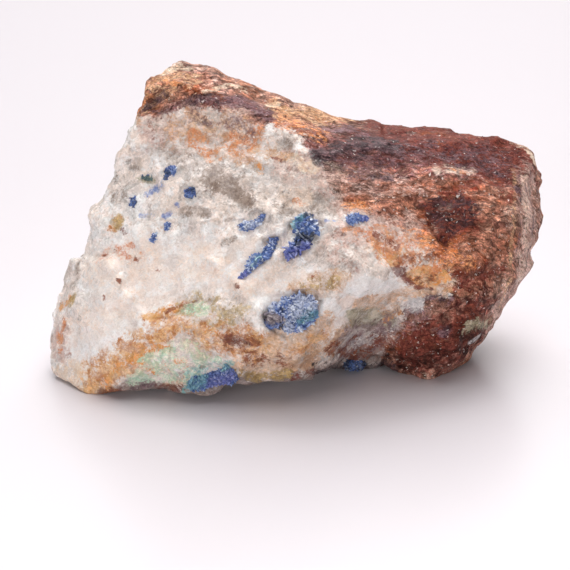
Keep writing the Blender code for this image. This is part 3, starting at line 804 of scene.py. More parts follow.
def coverage(points, tree, strokes):
    """How fully each layer of strokes covers each point: its strength well inside a stroke or
    area, half of that at its edge, and nothing further out."""
    seen = in_sight(points)
    drift = in_sight(wander(points))
    layers = {}
    for layer, group in strokes.items():
        layers[layer] = np.zeros(len(points))
        for width, strength, pixels in group.values():
            path = in_sight([spot_under(tree, pixel) for pixel in pixels])
            spots = seen + min(width / WIDE_STROKE, 1.0) * drift
            gap, nearest = distance_to_path(spots, path)
            reach = 0.5 * width * PIXEL
            share = 1.0 - gap / reach
            if pixels[0] == pixels[-1]:
                level = np.abs(spots[:, 2] - nearest[:, 2]) * DEPTH_REACH < AREA_DEPTH
                flat_gap = np.linalg.norm(spots[:, :2] - nearest[:, :2], axis=1)
                inside = within(spots[:, :2], path[:, :2]) & level
                share = np.where(inside, flat_gap, -gap) / reach
            covered = strength * np.clip(EDGE_COVER + EDGE_SLOPE * share, 0.0, 1.0)
            layers[layer] = np.maximum(layers[layer], covered)
    return layers


def host_share(points, tree):
    """How far a point belongs to the host rock, from 0 in the vein to 1."""
    contact = in_sight([spot_under(tree, pixel) for pixel in HOST_CONTACT])
    seen = in_sight(points)
    offset = seen - distance_to_path(seen, contact)[1]
    corners = [
        (contact[-1][0], -HOST_REACH),
        (HOST_REACH, -HOST_REACH),
        (HOST_REACH, HOST_REACH),
        (contact[0][0], HOST_REACH),
    ]
    outline = [*contact[:, :2], *corners, contact[0][:2]]
    side = np.where(within(seen[:, :2], outline), 1.0, -1.0)
    beside = side * np.linalg.norm(offset[:, :2], axis=1)
    behind = np.maximum(offset[:, 2] * DEPTH_REACH - HOST_BEHIND, 0.0)
    return 0.5 + (beside + behind) / CONTACT_SPREAD


def form_share(points, tree, kind):
    """How far the forms of one kind reach each point."""
    seen = in_sight(points) + FORM_WANDER * in_sight(wander(points))
    total = np.zeros(len(points))
    for form, width, amount, pixels in FORMS.values():
        if form == kind:
            path = in_sight([spot_under(tree, pixel) for pixel in pixels])
            share = np.clip(1.0 - distance_to_path(seen, path)[0] / (0.5 * width * PIXEL), 0.0, 1.0)
            total = np.maximum(total, amount * share * (2.0 - share))
    return total


# The rock's surface


def pocket_plug(name, tree):
    """A solid that fills a crystal group's pocket, level with the face round it."""
    low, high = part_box(name)
    centre = (low + high) / 2.0
    reach = (high - low).length / 2.0 + PLUG_MARGIN
    rim = []
    for step in range(RIM_SPOTS):
        turn = math.tau * step / RIM_SPOTS
        across, up = centre.x + reach * math.cos(turn), centre.z + reach * math.sin(turn)
        start = Vector((across, IN_FRONT, up))
        hit = tree.ray_cast(start, Vector((0.0, 1.0, 0.0)))[0]
        if hit and (hit - centre).length < 1.5 * reach:
            rim.append(hit)
    rim = np.array(rim)
    middle = rim.mean(axis=0)
    out = Vector(np.linalg.svd(rim - middle)[2][2])
    if out.y > 0.0:
        out = -out
    shape = bmesh.new()
    for point in frame["nodes"][name].data.vertices:
        shape.verts.new(point.co + (point.co - centre).normalized() * PLUG_MARGIN)
    bmesh.ops.remove_doubles(shape, verts=shape.verts, dist=WELD)
    made = bmesh.ops.convex_hull(shape, input=shape.verts)
    inside = [item for item in made["geom_interior"] if isinstance(item, bmesh.types.BMVert)]
    bmesh.ops.delete(shape, geom=inside, context="VERTS")
    cut = bmesh.ops.bisect_plane(
        shape,
        geom=[*shape.verts, *shape.edges, *shape.faces],
        plane_co=Vector(middle),
        plane_no=out,
        clear_outer=True,
    )
    rim_edges = [item for item in cut["geom_cut"] if isinstance(item, bmesh.types.BMEdge)]
    bmesh.ops.contextual_create(shape, geom=rim_edges)
    bmesh.ops.recalc_face_normals(shape, faces=shape.faces)
    return shape


def closed_lump():
    """The rock's solid with its pockets filled, as one mesh."""
    solid = frame["nodes"]["matrix"].data
    tree = tree_of(solid)
    shape = bmesh.new()
    shape.from_mesh(solid)
    bmesh.ops.remove_doubles(shape, verts=shape.verts, dist=WELD)
    for name in CRUSTS:
        plug = mesh_from(pocket_plug(name, tree), "plug")
        shape.from_mesh(plug)
        bpy.data.meshes.remove(plug)
    return mesh_from(shape, "rock")


def facet_field():
    """Flat facets of one size, each tilted its own way, as heights over the surface."""
    inputs = {"Size": ("Float", MM), "Seed": ("Float", 0.0)}
    tree, given, made = new_tree("facet field", "GeometryNodeTree", inputs, {"Height": ("Float", None)})
    place = add_node(tree, "GeometryNodeInputPosition").outputs[0]
    grid = scaled(tree, place, reckon(tree, "DIVIDE", 1.0, given.outputs["Size"]))
    heights = []
    for shift in (0.0, 37.0):
        offset = add_node(tree, "ShaderNodeCombineXYZ", {0: given.outputs["Seed"], 1: shift, 2: -shift})
        moved = reckon_vector(tree, "ADD", grid, offset.outputs[0])
        cells = add_node(tree, "ShaderNodeTexVoronoi", {"Vector": moved, "Scale": 1.0})
        tilt = reckon_vector(tree, "SUBTRACT", cells.outputs["Color"], (0.5, 0.5, 0.5))
        reach = reckon_vector(tree, "SUBTRACT", moved, cells.outputs["Position"])
        slope = reckon_vector(tree, "DOT_PRODUCT", reach, tilt)
        step = reckon(tree, "SUBTRACT", cells.outputs["Distance"], 0.5)
        heights.append(reckon(tree, "MULTIPLY_ADD", step, -0.35, reckon(tree, "MULTIPLY", slope, 2.0)))
    tree.links.new(reckon(tree, "MAXIMUM", *heights), made.inputs["Height"])
    return tree


def broken_surface():
    """The relief of the broken rock: facets and grains in the vein, leaves in the host rock."""
    inputs = {
        "Geometry": ("Geometry", None),
        "Facet Size": ("Float", MM),
        "Facet Depth": ("Float", MM),
        "Chip Size": ("Float", MM),
        "Chip Depth": ("Float", MM),
        "Grain Size": ("Float", MM),
        "Grain Depth": ("Float", MM),
        "Leaf Size": ("Float", MM),
        "Leaf Depth": ("Float", MM),
        "Softening": ("Int", 0),
        "Seed": ("Float", 0.0),
    }
    tree, given, made = new_tree(
        "broken surface", "GeometryNodeTree", inputs, {"Geometry": ("Geometry", None)}
    )
    take = given.outputs
    field = facet_field()
    place = add_node(tree, "GeometryNodeInputPosition").outputs[0]
    inputs = {
        "Geometry": take["Geometry"],
        "Position": blurred(tree, place, take["Softening"], "FLOAT_VECTOR"),
    }
    softened = add_node(tree, "GeometryNodeSetPosition", inputs).outputs[0]

    def facets(size, depth, turn):
        seed = reckon(tree, "ADD", take["Seed"], turn)
        height = use_group(tree, field, {"Size": size, "Seed": seed}).outputs["Height"]
        return reckon(tree, "MULTIPLY", height, depth)

    facet = facets(take["Facet Size"], take["Facet Depth"], 11.0)
    chip = facets(take["Chip Size"], take["Chip Depth"], 23.0)
    grain = facets(take["Grain Size"], take["Grain Depth"], 47.0)

    across = reckon_vector(tree, "DOT_PRODUCT", place, tuple(LEAF_NORMAL))
    squeezed = scaled(tree, tuple(LEAF_NORMAL), reckon(tree, "MULTIPLY", across, 3.0))
    leafy = reckon_vector(tree, "ADD", place, squeezed)
    inputs = {
        "Vector": scaled(tree, leafy, reckon(tree, "DIVIDE", 0.2, take["Leaf Size"])),
        "Scale": 1.0,
        "Detail": 4.0,
        "Roughness": 0.65,
    }
    leaf_noise = add_node(tree, "ShaderNodeTexNoise", inputs).outputs[0]
    ribs = reckon(tree, "ABSOLUTE", reckon(tree, "SUBTRACT", leaf_noise, 0.5))
    leaf = reckon(tree, "MULTIPLY", reckon(tree, "SUBTRACT", 0.08, ribs), 4.0)
    leaf = reckon(tree, "MULTIPLY", leaf, take["Leaf Depth"])

    inputs = {"Vector": place, "Scale": 1.0 / CRUMBLY_PATCH, "Detail": 2.0}
    patches = add_node(tree, "ShaderNodeTexNoise", inputs).outputs[0]
    crumbly = remap(tree, patches, 0.42, 0.60, 0.25, 1.0)
    small = reckon(tree, "MULTIPLY", reckon(tree, "ADD", chip, grain), crumbly)
    vein_height = reckon(tree, "ADD", facet, small)
    host_height = reckon(tree, "ADD", leaf, reckon(tree, "MULTIPLY", vein_height, 0.55))
    host = remap(tree, named_value(tree, "host"), 0.0, 1.0)
    height = blend_values(tree, host, vein_height, host_height)
    rough = remap(tree, named_value(tree, "calm"), 0.0, 0.7, 1.0, 0.25)
    height = reckon(tree, "MULTIPLY", height, rough)
    raised = reckon(tree, "MULTIPLY", named_value(tree, "raised"), MM)
    sunken = reckon(tree, "MULTIPLY", named_value(tree, "sunken"), MM)
    height = reckon(tree, "ADD", height, reckon(tree, "SUBTRACT", raised, sunken))

    rise = reckon(tree, "SUBTRACT", height, blurred(tree, height, RISE_STEPS, "FLOAT"))
    rise = reckon(tree, "MULTIPLY", rise, 1.0 / RISE_UNIT)
    marked = stored_value(tree, softened, "rise", rise, "POINT")
    out = add_node(tree, "GeometryNodeInputNormal").outputs[0]
    inputs = {"Geometry": marked, "Offset": scaled(tree, out, height)}
    lifted = add_node(tree, "GeometryNodeSetPosition", inputs)
    tree.links.new(lifted.outputs[0], made.inputs["Geometry"])
    return tree


def rock_piece():
    """The whole broken surface of the rock, before its stains."""
    rock = new_object("rock", closed_lump())
    sampled = rock.modifiers.new("sampled", "REMESH")
    sampled.mode = "VOXEL"
    sampled.voxel_size = VOXEL
    apply_modifiers(rock)

    points = points_of(rock.data)
    tree = tree_of(rock.data)
    store_layer(rock.data, "host", host_share(points, tree))
    for kind in ("sunken", "raised", "calm"):
        store_layer(rock.data, kind, form_share(points, tree, kind))

    relief = rock.modifiers.new("relief", "NODES")
    relief.node_group = broken_surface()
    settings = {
        "Facet Size": 3.4 * MM,
        "Facet Depth": 0.24 * MM,
        "Chip Size": 1.5 * MM,
        "Chip Depth": 0.11 * MM,
        "Grain Size": 0.7 * MM,
        "Grain Depth": 0.07 * MM,
        "Leaf Size": 1.0 * MM,
        "Leaf Depth": 0.18 * MM,
        "Softening": SOFTENING,
        "Seed": 5.0,
    }
    for name, value in settings.items():
        set_input(relief, name, value)
    fewer = rock.modifiers.new("fewer", "DECIMATE")
    fewer.ratio = MOST_TRIANGLES / (2 * len(rock.data.polygons))
    fewer.use_collapse_triangulate = True
    apply_modifiers(rock)

    points = rest_on_floor(rock.data)
    for name in ("host", "sunken", "raised", "calm"):
        layer = rock.data.attributes.get(name)
        if layer:
            rock.data.attributes.remove(layer)
    tree = tree_of(rock.data)
    store_layer(rock.data, "host", host_share(points, tree))
    store_layer(rock.data, "calm", form_share(points, tree, "calm"))
    for name, values in coverage(points, tree, STAINS).items():
        store_layer(rock.data, name, values)
    rock.data.update()
    rock.data.shade_smooth()
    rock.data.set_sharp_from_angle(angle=math.radians(38.0))
    return rock, tree


# The rock's colours and painted shade. Each zone multiplies the colour that it covers: by how
# much, its breakup and softness at the edge, and how far it covers the vein too.
ZONES = {
    "plum": ((0.58, 0.43, 0.53, 1.0), 0.8, 0.9, 0.0),
    "ruddy": ((0.60, 0.36, 0.36, 1.0), 0.9, 0.9, 0.0),
    "rosy": ((1.16, 1.20, 1.30, 1.0), 0.9, 0.9, 0.0),
    "copper": ((1.00, 0.80, 0.70, 1.0), 0.9, 0.9, 0.0),
    # The shade zone paints shade under the rock, in the arch and on the flank, and darkens other patches.
    "shade": ((0.40, 0.34, 0.33, 1.0), 0.9, 0.9, 1.0),
}

# Each layer of stain, the black one also painting shadow in the arch: two colours, how broken up
# its edge is, how soft it is, how much it hides, and its roughness.
LAYERS = {
    "white": (tint(253, 251, 249), tint(236, 231, 227), 0.7, 0.7, 0.92, 0.38),
    "smoky": (tint(130, 110, 97), tint(164, 145, 132), 0.8, 0.8, 0.92, 0.15),
    "pink": (tint(220, 188, 174), tint(178, 138, 126), 1.0, 0.8, 0.85, 0.40),
    "peach": (tint(248, 228, 212), tint(240, 208, 184), 1.0, 1.0, 0.7, 0.40),
    "sage": (tint(148, 142, 116), tint(190, 178, 152), 1.0, 0.7, 0.85, 0.30),
    "grey": (tint(196, 192, 192), tint(220, 214, 212), 0.5, 0.5, 0.9, 0.30),
    "cream": (tint(246, 228, 208), tint(228, 196, 166), 1.3, 0.8, 0.85, 0.55),
    "tan": (tint(228, 188, 152), tint(186, 138, 100), 1.3, 0.9, 0.85, 0.60),
    "ochre": (tint(190, 120, 62), tint(232, 184, 130), 1.3, 1.0, 0.95, 0.75),
    "amber": (tint(230, 146, 56), tint(224, 170, 108), 1.4, 0.8, 0.95, 0.30),
    "orange": (tint(200, 112, 58), tint(224, 160, 114), 1.5, 0.9, 0.88, 0.65),
    "mauve": (tint(140, 108, 112), tint(98, 70, 78), 1.3, 0.9, 0.85, 0.50),
    "rust": (tint(160, 86, 50), tint(112, 54, 36), 1.4, 0.8, 0.88, 0.60),
    "maroon": (tint(96, 42, 36), tint(134, 72, 60), 1.4, 0.8, 0.88, 0.60),
    "dark": (tint(60, 42, 48), tint(126, 96, 100), 1.4, 0.8, 0.9, 0.45),
    "black": (tint(30, 22, 26), tint(82, 60, 64), 1.3, 0.7, 0.92, 0.40),
    "olive": (tint(204, 172, 112), tint(150, 122, 76), 1.3, 0.7, 0.85, 0.45),
    "mint": (tint(240, 238, 216), tint(176, 210, 182), 2.0, 0.8, 0.85, 0.80),
    "teal": (tint(92, 166, 170), tint(160, 206, 200), 1.6, 0.8, 0.8, 0.70),
    "blue": (tint(66, 88, 160), tint(132, 156, 206), 1.2, 0.8, 0.85, 0.45),
}


# The size of the patches of the vein that catch the light as one.
FACET_PATCH = 2.4 * MM


def patch_mask():
    """Where a stain, painted shade or painted highlight shows: its coverage, with an edge broken up by
    noise.
    """
    inputs = {
        "Coverage": ("Float", 0.0),
        "Noise": ("Float", 0.5),
        "Breakup": ("Float", 0.5),
        "Softness": ("Float", 0.5),
    }
    tree, given, made = new_tree("patch mask", "ShaderNodeTree", inputs, {"Mask": ("Float", None)})
    take = given.outputs
    swing = reckon(tree, "SUBTRACT", take["Noise"], 0.5)
    swing = reckon(tree, "MULTIPLY", swing, reckon(tree, "MULTIPLY", take["Breakup"], 1.9))
    swing = reckon(tree, "MULTIPLY", swing, remap(tree, take["Coverage"], 0.0, 0.4))
    level = reckon(tree, "ADD", take["Coverage"], swing)
    low = reckon(tree, "MULTIPLY_ADD", take["Softness"], -0.5, 0.5)
    high = reckon(tree, "MULTIPLY_ADD", take["Softness"], 0.5, 0.5)
    tree.links.new(remap(tree, level, low, high), made.inputs["Mask"])
    return tree


def split(tree, color):
    """The three values of a colour."""
    return add_node(tree, "ShaderNodeSeparateColor", {0: color}).outputs


def noise_colors(tree, place, size, detail=3.0, roughness=0.6, contrast=3.0):
    """Three noises of one grain size, with more contrast than they come with."""
    inputs = {"Vector": place, "Scale": 1.0 / size, "Detail": detail, "Roughness": roughness}
    parts = split(tree, add_node(tree, "ShaderNodeTexNoise", inputs).outputs["Color"])
    low, high = 0.5 - 0.5 / contrast, 0.5 + 0.5 / contrast
    return [remap(tree, part, low, high, smooth=False) for part in parts]


def cells_of(tree, place, size, feature="F1"):
    """What a Voronoi texture gives for grains of one size."""
    inputs = {"Vector": place, "Scale": 1.0 / size}
    return add_node(tree, "ShaderNodeTexVoronoi", inputs, feature=feature).outputs


def rock_noises(tree, place):
    """The noises and grains that the rock's colours and fine relief are made of, by name."""
    inputs = {"Vector": place, "Scale": 1.0 / (1.2 * MM), "Detail": 2.0}
    bend = add_node(tree, "ShaderNodeTexNoise", inputs).outputs["Color"]
    bend = scaled(tree, reckon_vector(tree, "SUBTRACT", bend, (0.5, 0.5, 0.5)), 1.1 * MM)
    bent = reckon_vector(tree, "ADD", place, bend)
    across = reckon_vector(tree, "DOT_PRODUCT", bent, tuple(LEAF_NORMAL))
    squeezed = scaled(tree, tuple(LEAF_NORMAL), reckon(tree, "MULTIPLY", across, 1.7))
    leafy = reckon_vector(tree, "ADD", bent, squeezed)
    grains = cells_of(tree, bent, 0.8 * MM)
    return {
        "broad": noise_colors(tree, place, 5.0 * MM),
        "middle": noise_colors(tree, place, 1.5 * MM, detail=4.0),
        "fine": noise_colors(tree, place, 0.34 * MM, detail=3.0, roughness=0.7),
        "leaf": noise_colors(tree, leafy, 2.6 * MM, detail=6.0, roughness=0.72),
        "leafy_shade": noise_colors(tree, leafy, 1.7 * MM, detail=2.0, contrast=4.0),
        "flake": noise_colors(tree, leafy, 0.9 * MM, detail=3.0, roughness=0.65),
        "facet": split(tree, cells_of(tree, bent, FACET_PATCH)["Color"]),
        "pale_seam_and_highlight": cells_of(tree, bent, FACET_PATCH, feature="DISTANCE_TO_EDGE")["Distance"],
        "grain": split(tree, grains["Color"]),
        "grain_dip": grains["Distance"],
        "crumb": split(tree, cells_of(tree, bent, 0.26 * MM)["Color"]),
        "grit": split(tree, cells_of(tree, place, 0.15 * MM)["Color"]),
    }


def vein_color(tree, noises, quiet):
    """Milky quartz with clearer patches, painted light and shade on its facet patches, pale seams that are
    white cracks in part and painted highlight on the facets' edges in part, and dust, plainer where it is
    calm.
    """
    broad, middle = noises["broad"], noises["middle"]
    color = blend_colors(tree, broad[0], tint(250, 239, 233), tint(234, 224, 219))
    color = blend_colors(tree, reckon(tree, "MULTIPLY", broad[1], 0.6), color, tint(249, 225, 208))
    clear = reckon(tree, "MULTIPLY", remap(tree, middle[0], 0.5, 0.9, 0.0, 0.45), quiet)
    color = blend_colors(tree, clear, color, tint(192, 174, 160))
    milky = remap(tree, middle[1], 0.45, 0.8, 0.0, 0.7)
    color = blend_colors(tree, milky, color, tint(252, 249, 247))
    # Painted light and shade: each facet patch a little lighter or darker, as a facet that catches the
    # light its own way.
    color = shaded(tree, color, noises["facet"][0], 0.88, 1.06)
    # Pale seams on the facet patches' edges: white cracks in part, and in part painted highlight on the
    # edges.
    pale_seam_and_highlight = reckon(tree, "MULTIPLY", remap(tree, noises["pale_seam_and_highlight"], 0.0, 0.05, 0.55, 0.0), middle[2])
    color = blend_colors(tree, pale_seam_and_highlight, color, tint(252, 248, 246))
    speckle = remap(tree, noises["fine"][0], 0.0, 1.0, 0.86, 1.05, smooth=False)
    color = scaled(tree, color, blend_values(tree, quiet, 0.97, speckle))
    dust = remap(tree, noises["crumb"][2], 0.90, 0.95, 0.0, 0.45)
    return blend_colors(tree, reckon(tree, "MULTIPLY", dust, broad[2]), color, tint(196, 156, 128))


def host_color(tree, noises):
    """Leafy brown rock with dark, rusty and pale leaves."""
    leaf = noises["leaf"]
    color = blend_colors(tree, leaf[0], tint(112, 72, 62), tint(190, 146, 126))
    color = blend_colors(tree, remap(tree, leaf[1], 0.5, 1.0, 0.0, 0.8), color, tint(86, 54, 52))
    rusty = remap(tree, noises["broad"][2], 0.4, 1.0, 0.0, 0.6)
    color = blend_colors(tree, rusty, color, tint(160, 92, 58))
    color = blend_colors(tree, remap(tree, leaf[2], 0.6, 1.0, 0.0, 0.7), color, tint(216, 184, 166))
    color = shaded(tree, color, noises["flake"][0], 0.48, 1.64)
    color = shaded(tree, color, noises["leafy_shade"][0], 0.55, 1.40)
    return shaded(tree, color, noises["fine"][1], 0.72, 1.28)


def stained_and_shaded(tree, noises, color, rough, share):
    """A colour and roughness with every zone and layer of stain and painted shade laid over them."""
    fine, middle = noises["fine"], noises["middle"]
    leaf, flake, crumb = noises["leaf"], noises["flake"], noises["crumb"]
    mask_group = patch_mask()

    def masked(name, turn, breakup, softness):
        loose = blend_values(tree, 0.5, fine[(turn + 1) % 3], crumb[turn % 3])
        in_vein = blend_values(tree, 0.5, middle[turn % 3], loose)
        in_host = blend_values(tree, 0.5, leaf[turn % 3], flake[(turn + 1) % 3])
        inputs = {
            "Coverage": read_layer(tree, name),
            "Noise": blend_values(tree, share, in_vein, in_host),
            "Breakup": breakup,
            "Softness": softness,
        }
        return use_group(tree, mask_group, inputs).outputs["Mask"]

    for turn, (name, (tinge, breakup, softness, spread)) in enumerate(ZONES.items()):
        mask = masked(name, turn, breakup, softness)
        mask = reckon(tree, "MULTIPLY", mask, reckon(tree, "MAXIMUM", share, spread))
        color = blend_colors(tree, mask, color, tinge, way="MULTIPLY")

    for turn, (name, layer) in enumerate(LAYERS.items()):
        first, second, breakup, softness, hiding, roughness = layer
        veil = remap(tree, middle[(turn + 1) % 3], 0.2, 0.8, 0.8 * hiding, 1.05 * hiding)
        mask = reckon(tree, "MULTIPLY", masked(name, turn, breakup, softness), veil)
        mottle = blend_values(tree, 0.5, fine[turn % 3], middle[(turn + 2) % 3])
        mottle = remap(tree, mottle, 0.25, 0.75)
        color = blend_colors(tree, mask, color, blend_colors(tree, mottle, first, second))
        rough = blend_values(tree, mask, rough, roughness)
    return color, rough


def grain_shade_and_glints(tree, noises, color, share, loud):
    """A colour with its leaves, grains and grit, painted shade and dirt in its hollows, and painted
    glints.
    """
    crumb, fine = noises["crumb"], noises["fine"]
    leafed = remap(tree, noises["flake"][2], 0.0, 1.0, 0.70, 1.34, smooth=False)
    color = scaled(tree, color, blend_values(tree, share, 1.0, leafed))
    grains = remap(tree, noises["grain"][0], 0.0, 1.0, 0.86, 1.08, smooth=False)
    color = scaled(tree, color, blend_values(tree, loud, 0.97, grains))
    crumbs = remap(tree, crumb[1], 0.0, 1.0, 0.88, 1.09, smooth=False)
    color = scaled(tree, color, blend_values(tree, loud, 0.985, crumbs))
    grit_dark = blend_values(tree, share, 0.92, 0.72)
    grit_light = blend_values(tree, share, 1.06, 1.36)
    color = shaded(tree, color, noises["grit"][0], grit_dark, grit_light)
    # Painted shade and dirt: darker in the hollows, where a point lies lower than the points round it.
    color = scaled(tree, color, remap(tree, read_layer(tree, "rise"), -2.2, 0.2, 0.66, 1.0))
    # Painted glints: pale specks on some crumbs, standing in for sparkle.
    glint = remap(tree, crumb[0], 0.90, 0.97, 0.0, 0.8)
    glint = reckon(tree, "MULTIPLY", glint, remap(tree, noises["flake"][1], 0.4, 0.8))
    glint = reckon(tree, "MULTIPLY", glint, remap(tree, fine[2], 0.4, 0.7))
    return blend_colors(tree, glint, color, tint(252, 240, 232))


def stained_and_shaded_rock():
    """The rock's colour, roughness and fine relief, everywhere on it."""
    outputs = {"Color": ("Color", None), "Roughness": ("Float", None), "Height": ("Float", None)}
    tree, _, made = new_tree("stained and shaded rock", "ShaderNodeTree", {}, outputs)
    noises = rock_noises(tree, add_node(tree, "ShaderNodeTexCoord").outputs["Object"])
    middle, fine, grain = noises["middle"], noises["fine"], noises["grain"]

    stray = reckon(tree, "SUBTRACT", reckon(tree, "ADD", noises["broad"][0], middle[1]), 1.0)
    stray = reckon(tree, "ADD", stray, reckon(tree, "SUBTRACT", fine[2], 0.5))
    share = reckon(tree, "MULTIPLY_ADD", stray, 0.7, read_layer(tree, "host"))
    share = remap(tree, share, 0.1, 0.9)
    quiet = remap(tree, read_layer(tree, "calm"), 0.0, 0.6, 1.0, 0.25)
    loud = reckon(tree, "MAXIMUM", quiet, share)

    color = blend_colors(tree, share, vein_color(tree, noises, quiet), host_color(tree, noises))
    rough = blend_values(tree, share, 0.20, 0.60)
    color, rough = stained_and_shaded(tree, noises, color, rough, share)
    color = grain_shade_and_glints(tree, noises, color, share, loud)
    rough = reckon(tree, "ADD", rough, remap(tree, grain[1], 0.0, 1.0, -0.12, 0.12, smooth=False))

    height = reckon(tree, "MULTIPLY", middle[1], 0.5)
    height = reckon(tree, "ADD", height, reckon(tree, "MULTIPLY", fine[1], 0.35))
    height = reckon(tree, "ADD", height, reckon(tree, "MULTIPLY", noises["crumb"][0], 0.2))
    height = reckon(tree, "SUBTRACT", height, noises["grain_dip"])
    height = reckon(tree, "MULTIPLY", height, reckon(tree, "MULTIPLY_ADD", loud, 0.6, 0.4))
    tree.links.new(color, made.inputs["Color"])
    tree.links.new(rough, made.inputs["Roughness"])
    tree.links.new(height, made.inputs["Height"])
    return tree


def new_material(name):
    material = bpy.data.materials.new(name)
    material.use_nodes = True
    return material, material.node_tree, material.node_tree.nodes["Principled BSDF"]


def rock_material(name, group, bump, gloss, translucence):
    material, tree, surface = new_material(name)
    stained_and_shaded = use_group(tree, group, {}).outputs
    tree.links.new(stained_and_shaded["Color"], surface.inputs["Base Color"])
    tree.links.new(stained_and_shaded["Roughness"], surface.inputs["Roughness"])
    inputs = {"Strength": 0.7, "Distance": bump, "Height": stained_and_shaded["Height"]}
    relief = add_node(tree, "ShaderNodeBump", inputs)
    tree.links.new(relief.outputs[0], surface.inputs["Normal"])
    surface.inputs["Specular IOR Level"].default_value = gloss
    surface.inputs["Subsurface Weight"].default_value = translucence
    surface.inputs["Subsurface Radius"].default_value = (1.0, 0.8, 0.65)
    surface.inputs["Subsurface Scale"].default_value = 0.7 * MM
    return material


def finish_rock(rock):
    group = stained_and_shaded_rock()
    rock.data.materials.append(rock_material("vein_quartz", group, 0.16 * MM, 0.5, 0.18))
    rock.data.materials.append(rock_material("host_rock", group, 0.14 * MM, 0.1, 0.0))
    host = np.empty(len(rock.data.vertices), np.float32)
    rock.data.attributes["host"].data.foreach_get("value", host)
    inside = host[triangles_of(rock.data)].mean(axis=1) > 0.5
    rock.data.polygons.foreach_set("material_index", inside.astype(np.int32))


# The linarite


# How far inside its outline a crust ends, in pixels for each millimetre that it stands out, how
# deep it goes into the rock, and how near the rock's face a sight line has to meet a seen point.
CRUST_EDGE = 2.2
CRUST_DEPTH = 0.35 * MM
SIGHT_MARGIN = 0.4 * MM

# The upper points of a crust hold their height as a share of the highest, raised by this much,
# which tells them from the lower points.
UPPER_MARK = 0.05


def faces_seen(mesh, tree, ring, inset):
    """The faces that the camera sees inside a closed outline and clear of its edge."""
    points = points_of(mesh)
    seen = pixels_of(points)
    low, high = ring.min(axis=0) - 2.0, ring.max(axis=0) + 2.0
    near = np.all((seen > low) & (seen < high), axis=1)
    faces = triangles_of(mesh)
    faces = faces[near[faces].all(axis=1)]
    middles = seen[faces].mean(axis=1)
    inner = distance_to_path(middles, ring)[0] > inset
    faces = faces[within(middles, ring) & inner]
    kept = []
    for face in faces:
        centre = Vector(points[face].mean(axis=0))
        hit = tree.ray_cast(EYE, (centre - EYE).normalized())[0]
        if hit and (hit - centre).length < SIGHT_MARGIN:
            kept.append(face)
    return np.array(kept)


def crust_on(rock, tree, name):
    """A low closed crust that follows the rock's face inside a group's outline."""
    rise, outline = CRUSTS[name]
    ring = np.array(outline + outline[:1], float)
    kept = faces_seen(rock.data, tree, ring, rise * CRUST_EDGE)
    used, renamed = np.unique(kept, return_inverse=True)
    renamed = renamed.reshape(-1, 3)
    count = len(used)
    points = points_of(rock.data)[used]
    out = normals_of(rock.data)[used]
    margin = distance_to_path(pixels_of(points), ring)[0]
    dome = np.sqrt(np.clip(margin / margin.max(), 0.0, 1.0))
    top = points + out * (rise * dome * MM)[:, None]
    under = points - out * CRUST_DEPTH
    edges = {}
    for a, b, c in renamed:
        edges.update({(a, b): True, (b, c): True, (c, a): True})
    faces = [tuple(face) for face in renamed]
    faces += [tuple(face[::-1] + count) for face in renamed]
    for start, end in edges:
        if (end, start) not in edges:
            faces.append((end, start, start + count, end + count))
    crust = bpy.data.meshes.new(name)
    crust.from_pydata(np.vstack([top, under]).tolist(), [], faces)
    crust.validate()
    store_layer(crust, "dome", np.concatenate([UPPER_MARK + dome, np.zeros(count)]))
    return new_object(name, crust)


def blade_object():
    """One tabular linarite crystal, a unit long: a flat six-sided prism with chisel ends."""
    shape = bmesh.new()
    bmesh.ops.create_cone(shape, cap_ends=True, segments=6, radius1=0.42, radius2=0.34, depth=0.9)
    bmesh.ops.scale(shape, vec=(1.0, 0.42, 1.0), verts=shape.verts)
    for point in shape.verts:
        if point.co.z > 0.0:
            point.co.z += 0.55 * point.co.x
    bmesh.ops.translate(shape, vec=(0.0, 0.0, 0.25), verts=shape.verts)
    blade = new_object("blade", mesh_from(shape, "blade"))
    blade.hide_render = True
    return blade


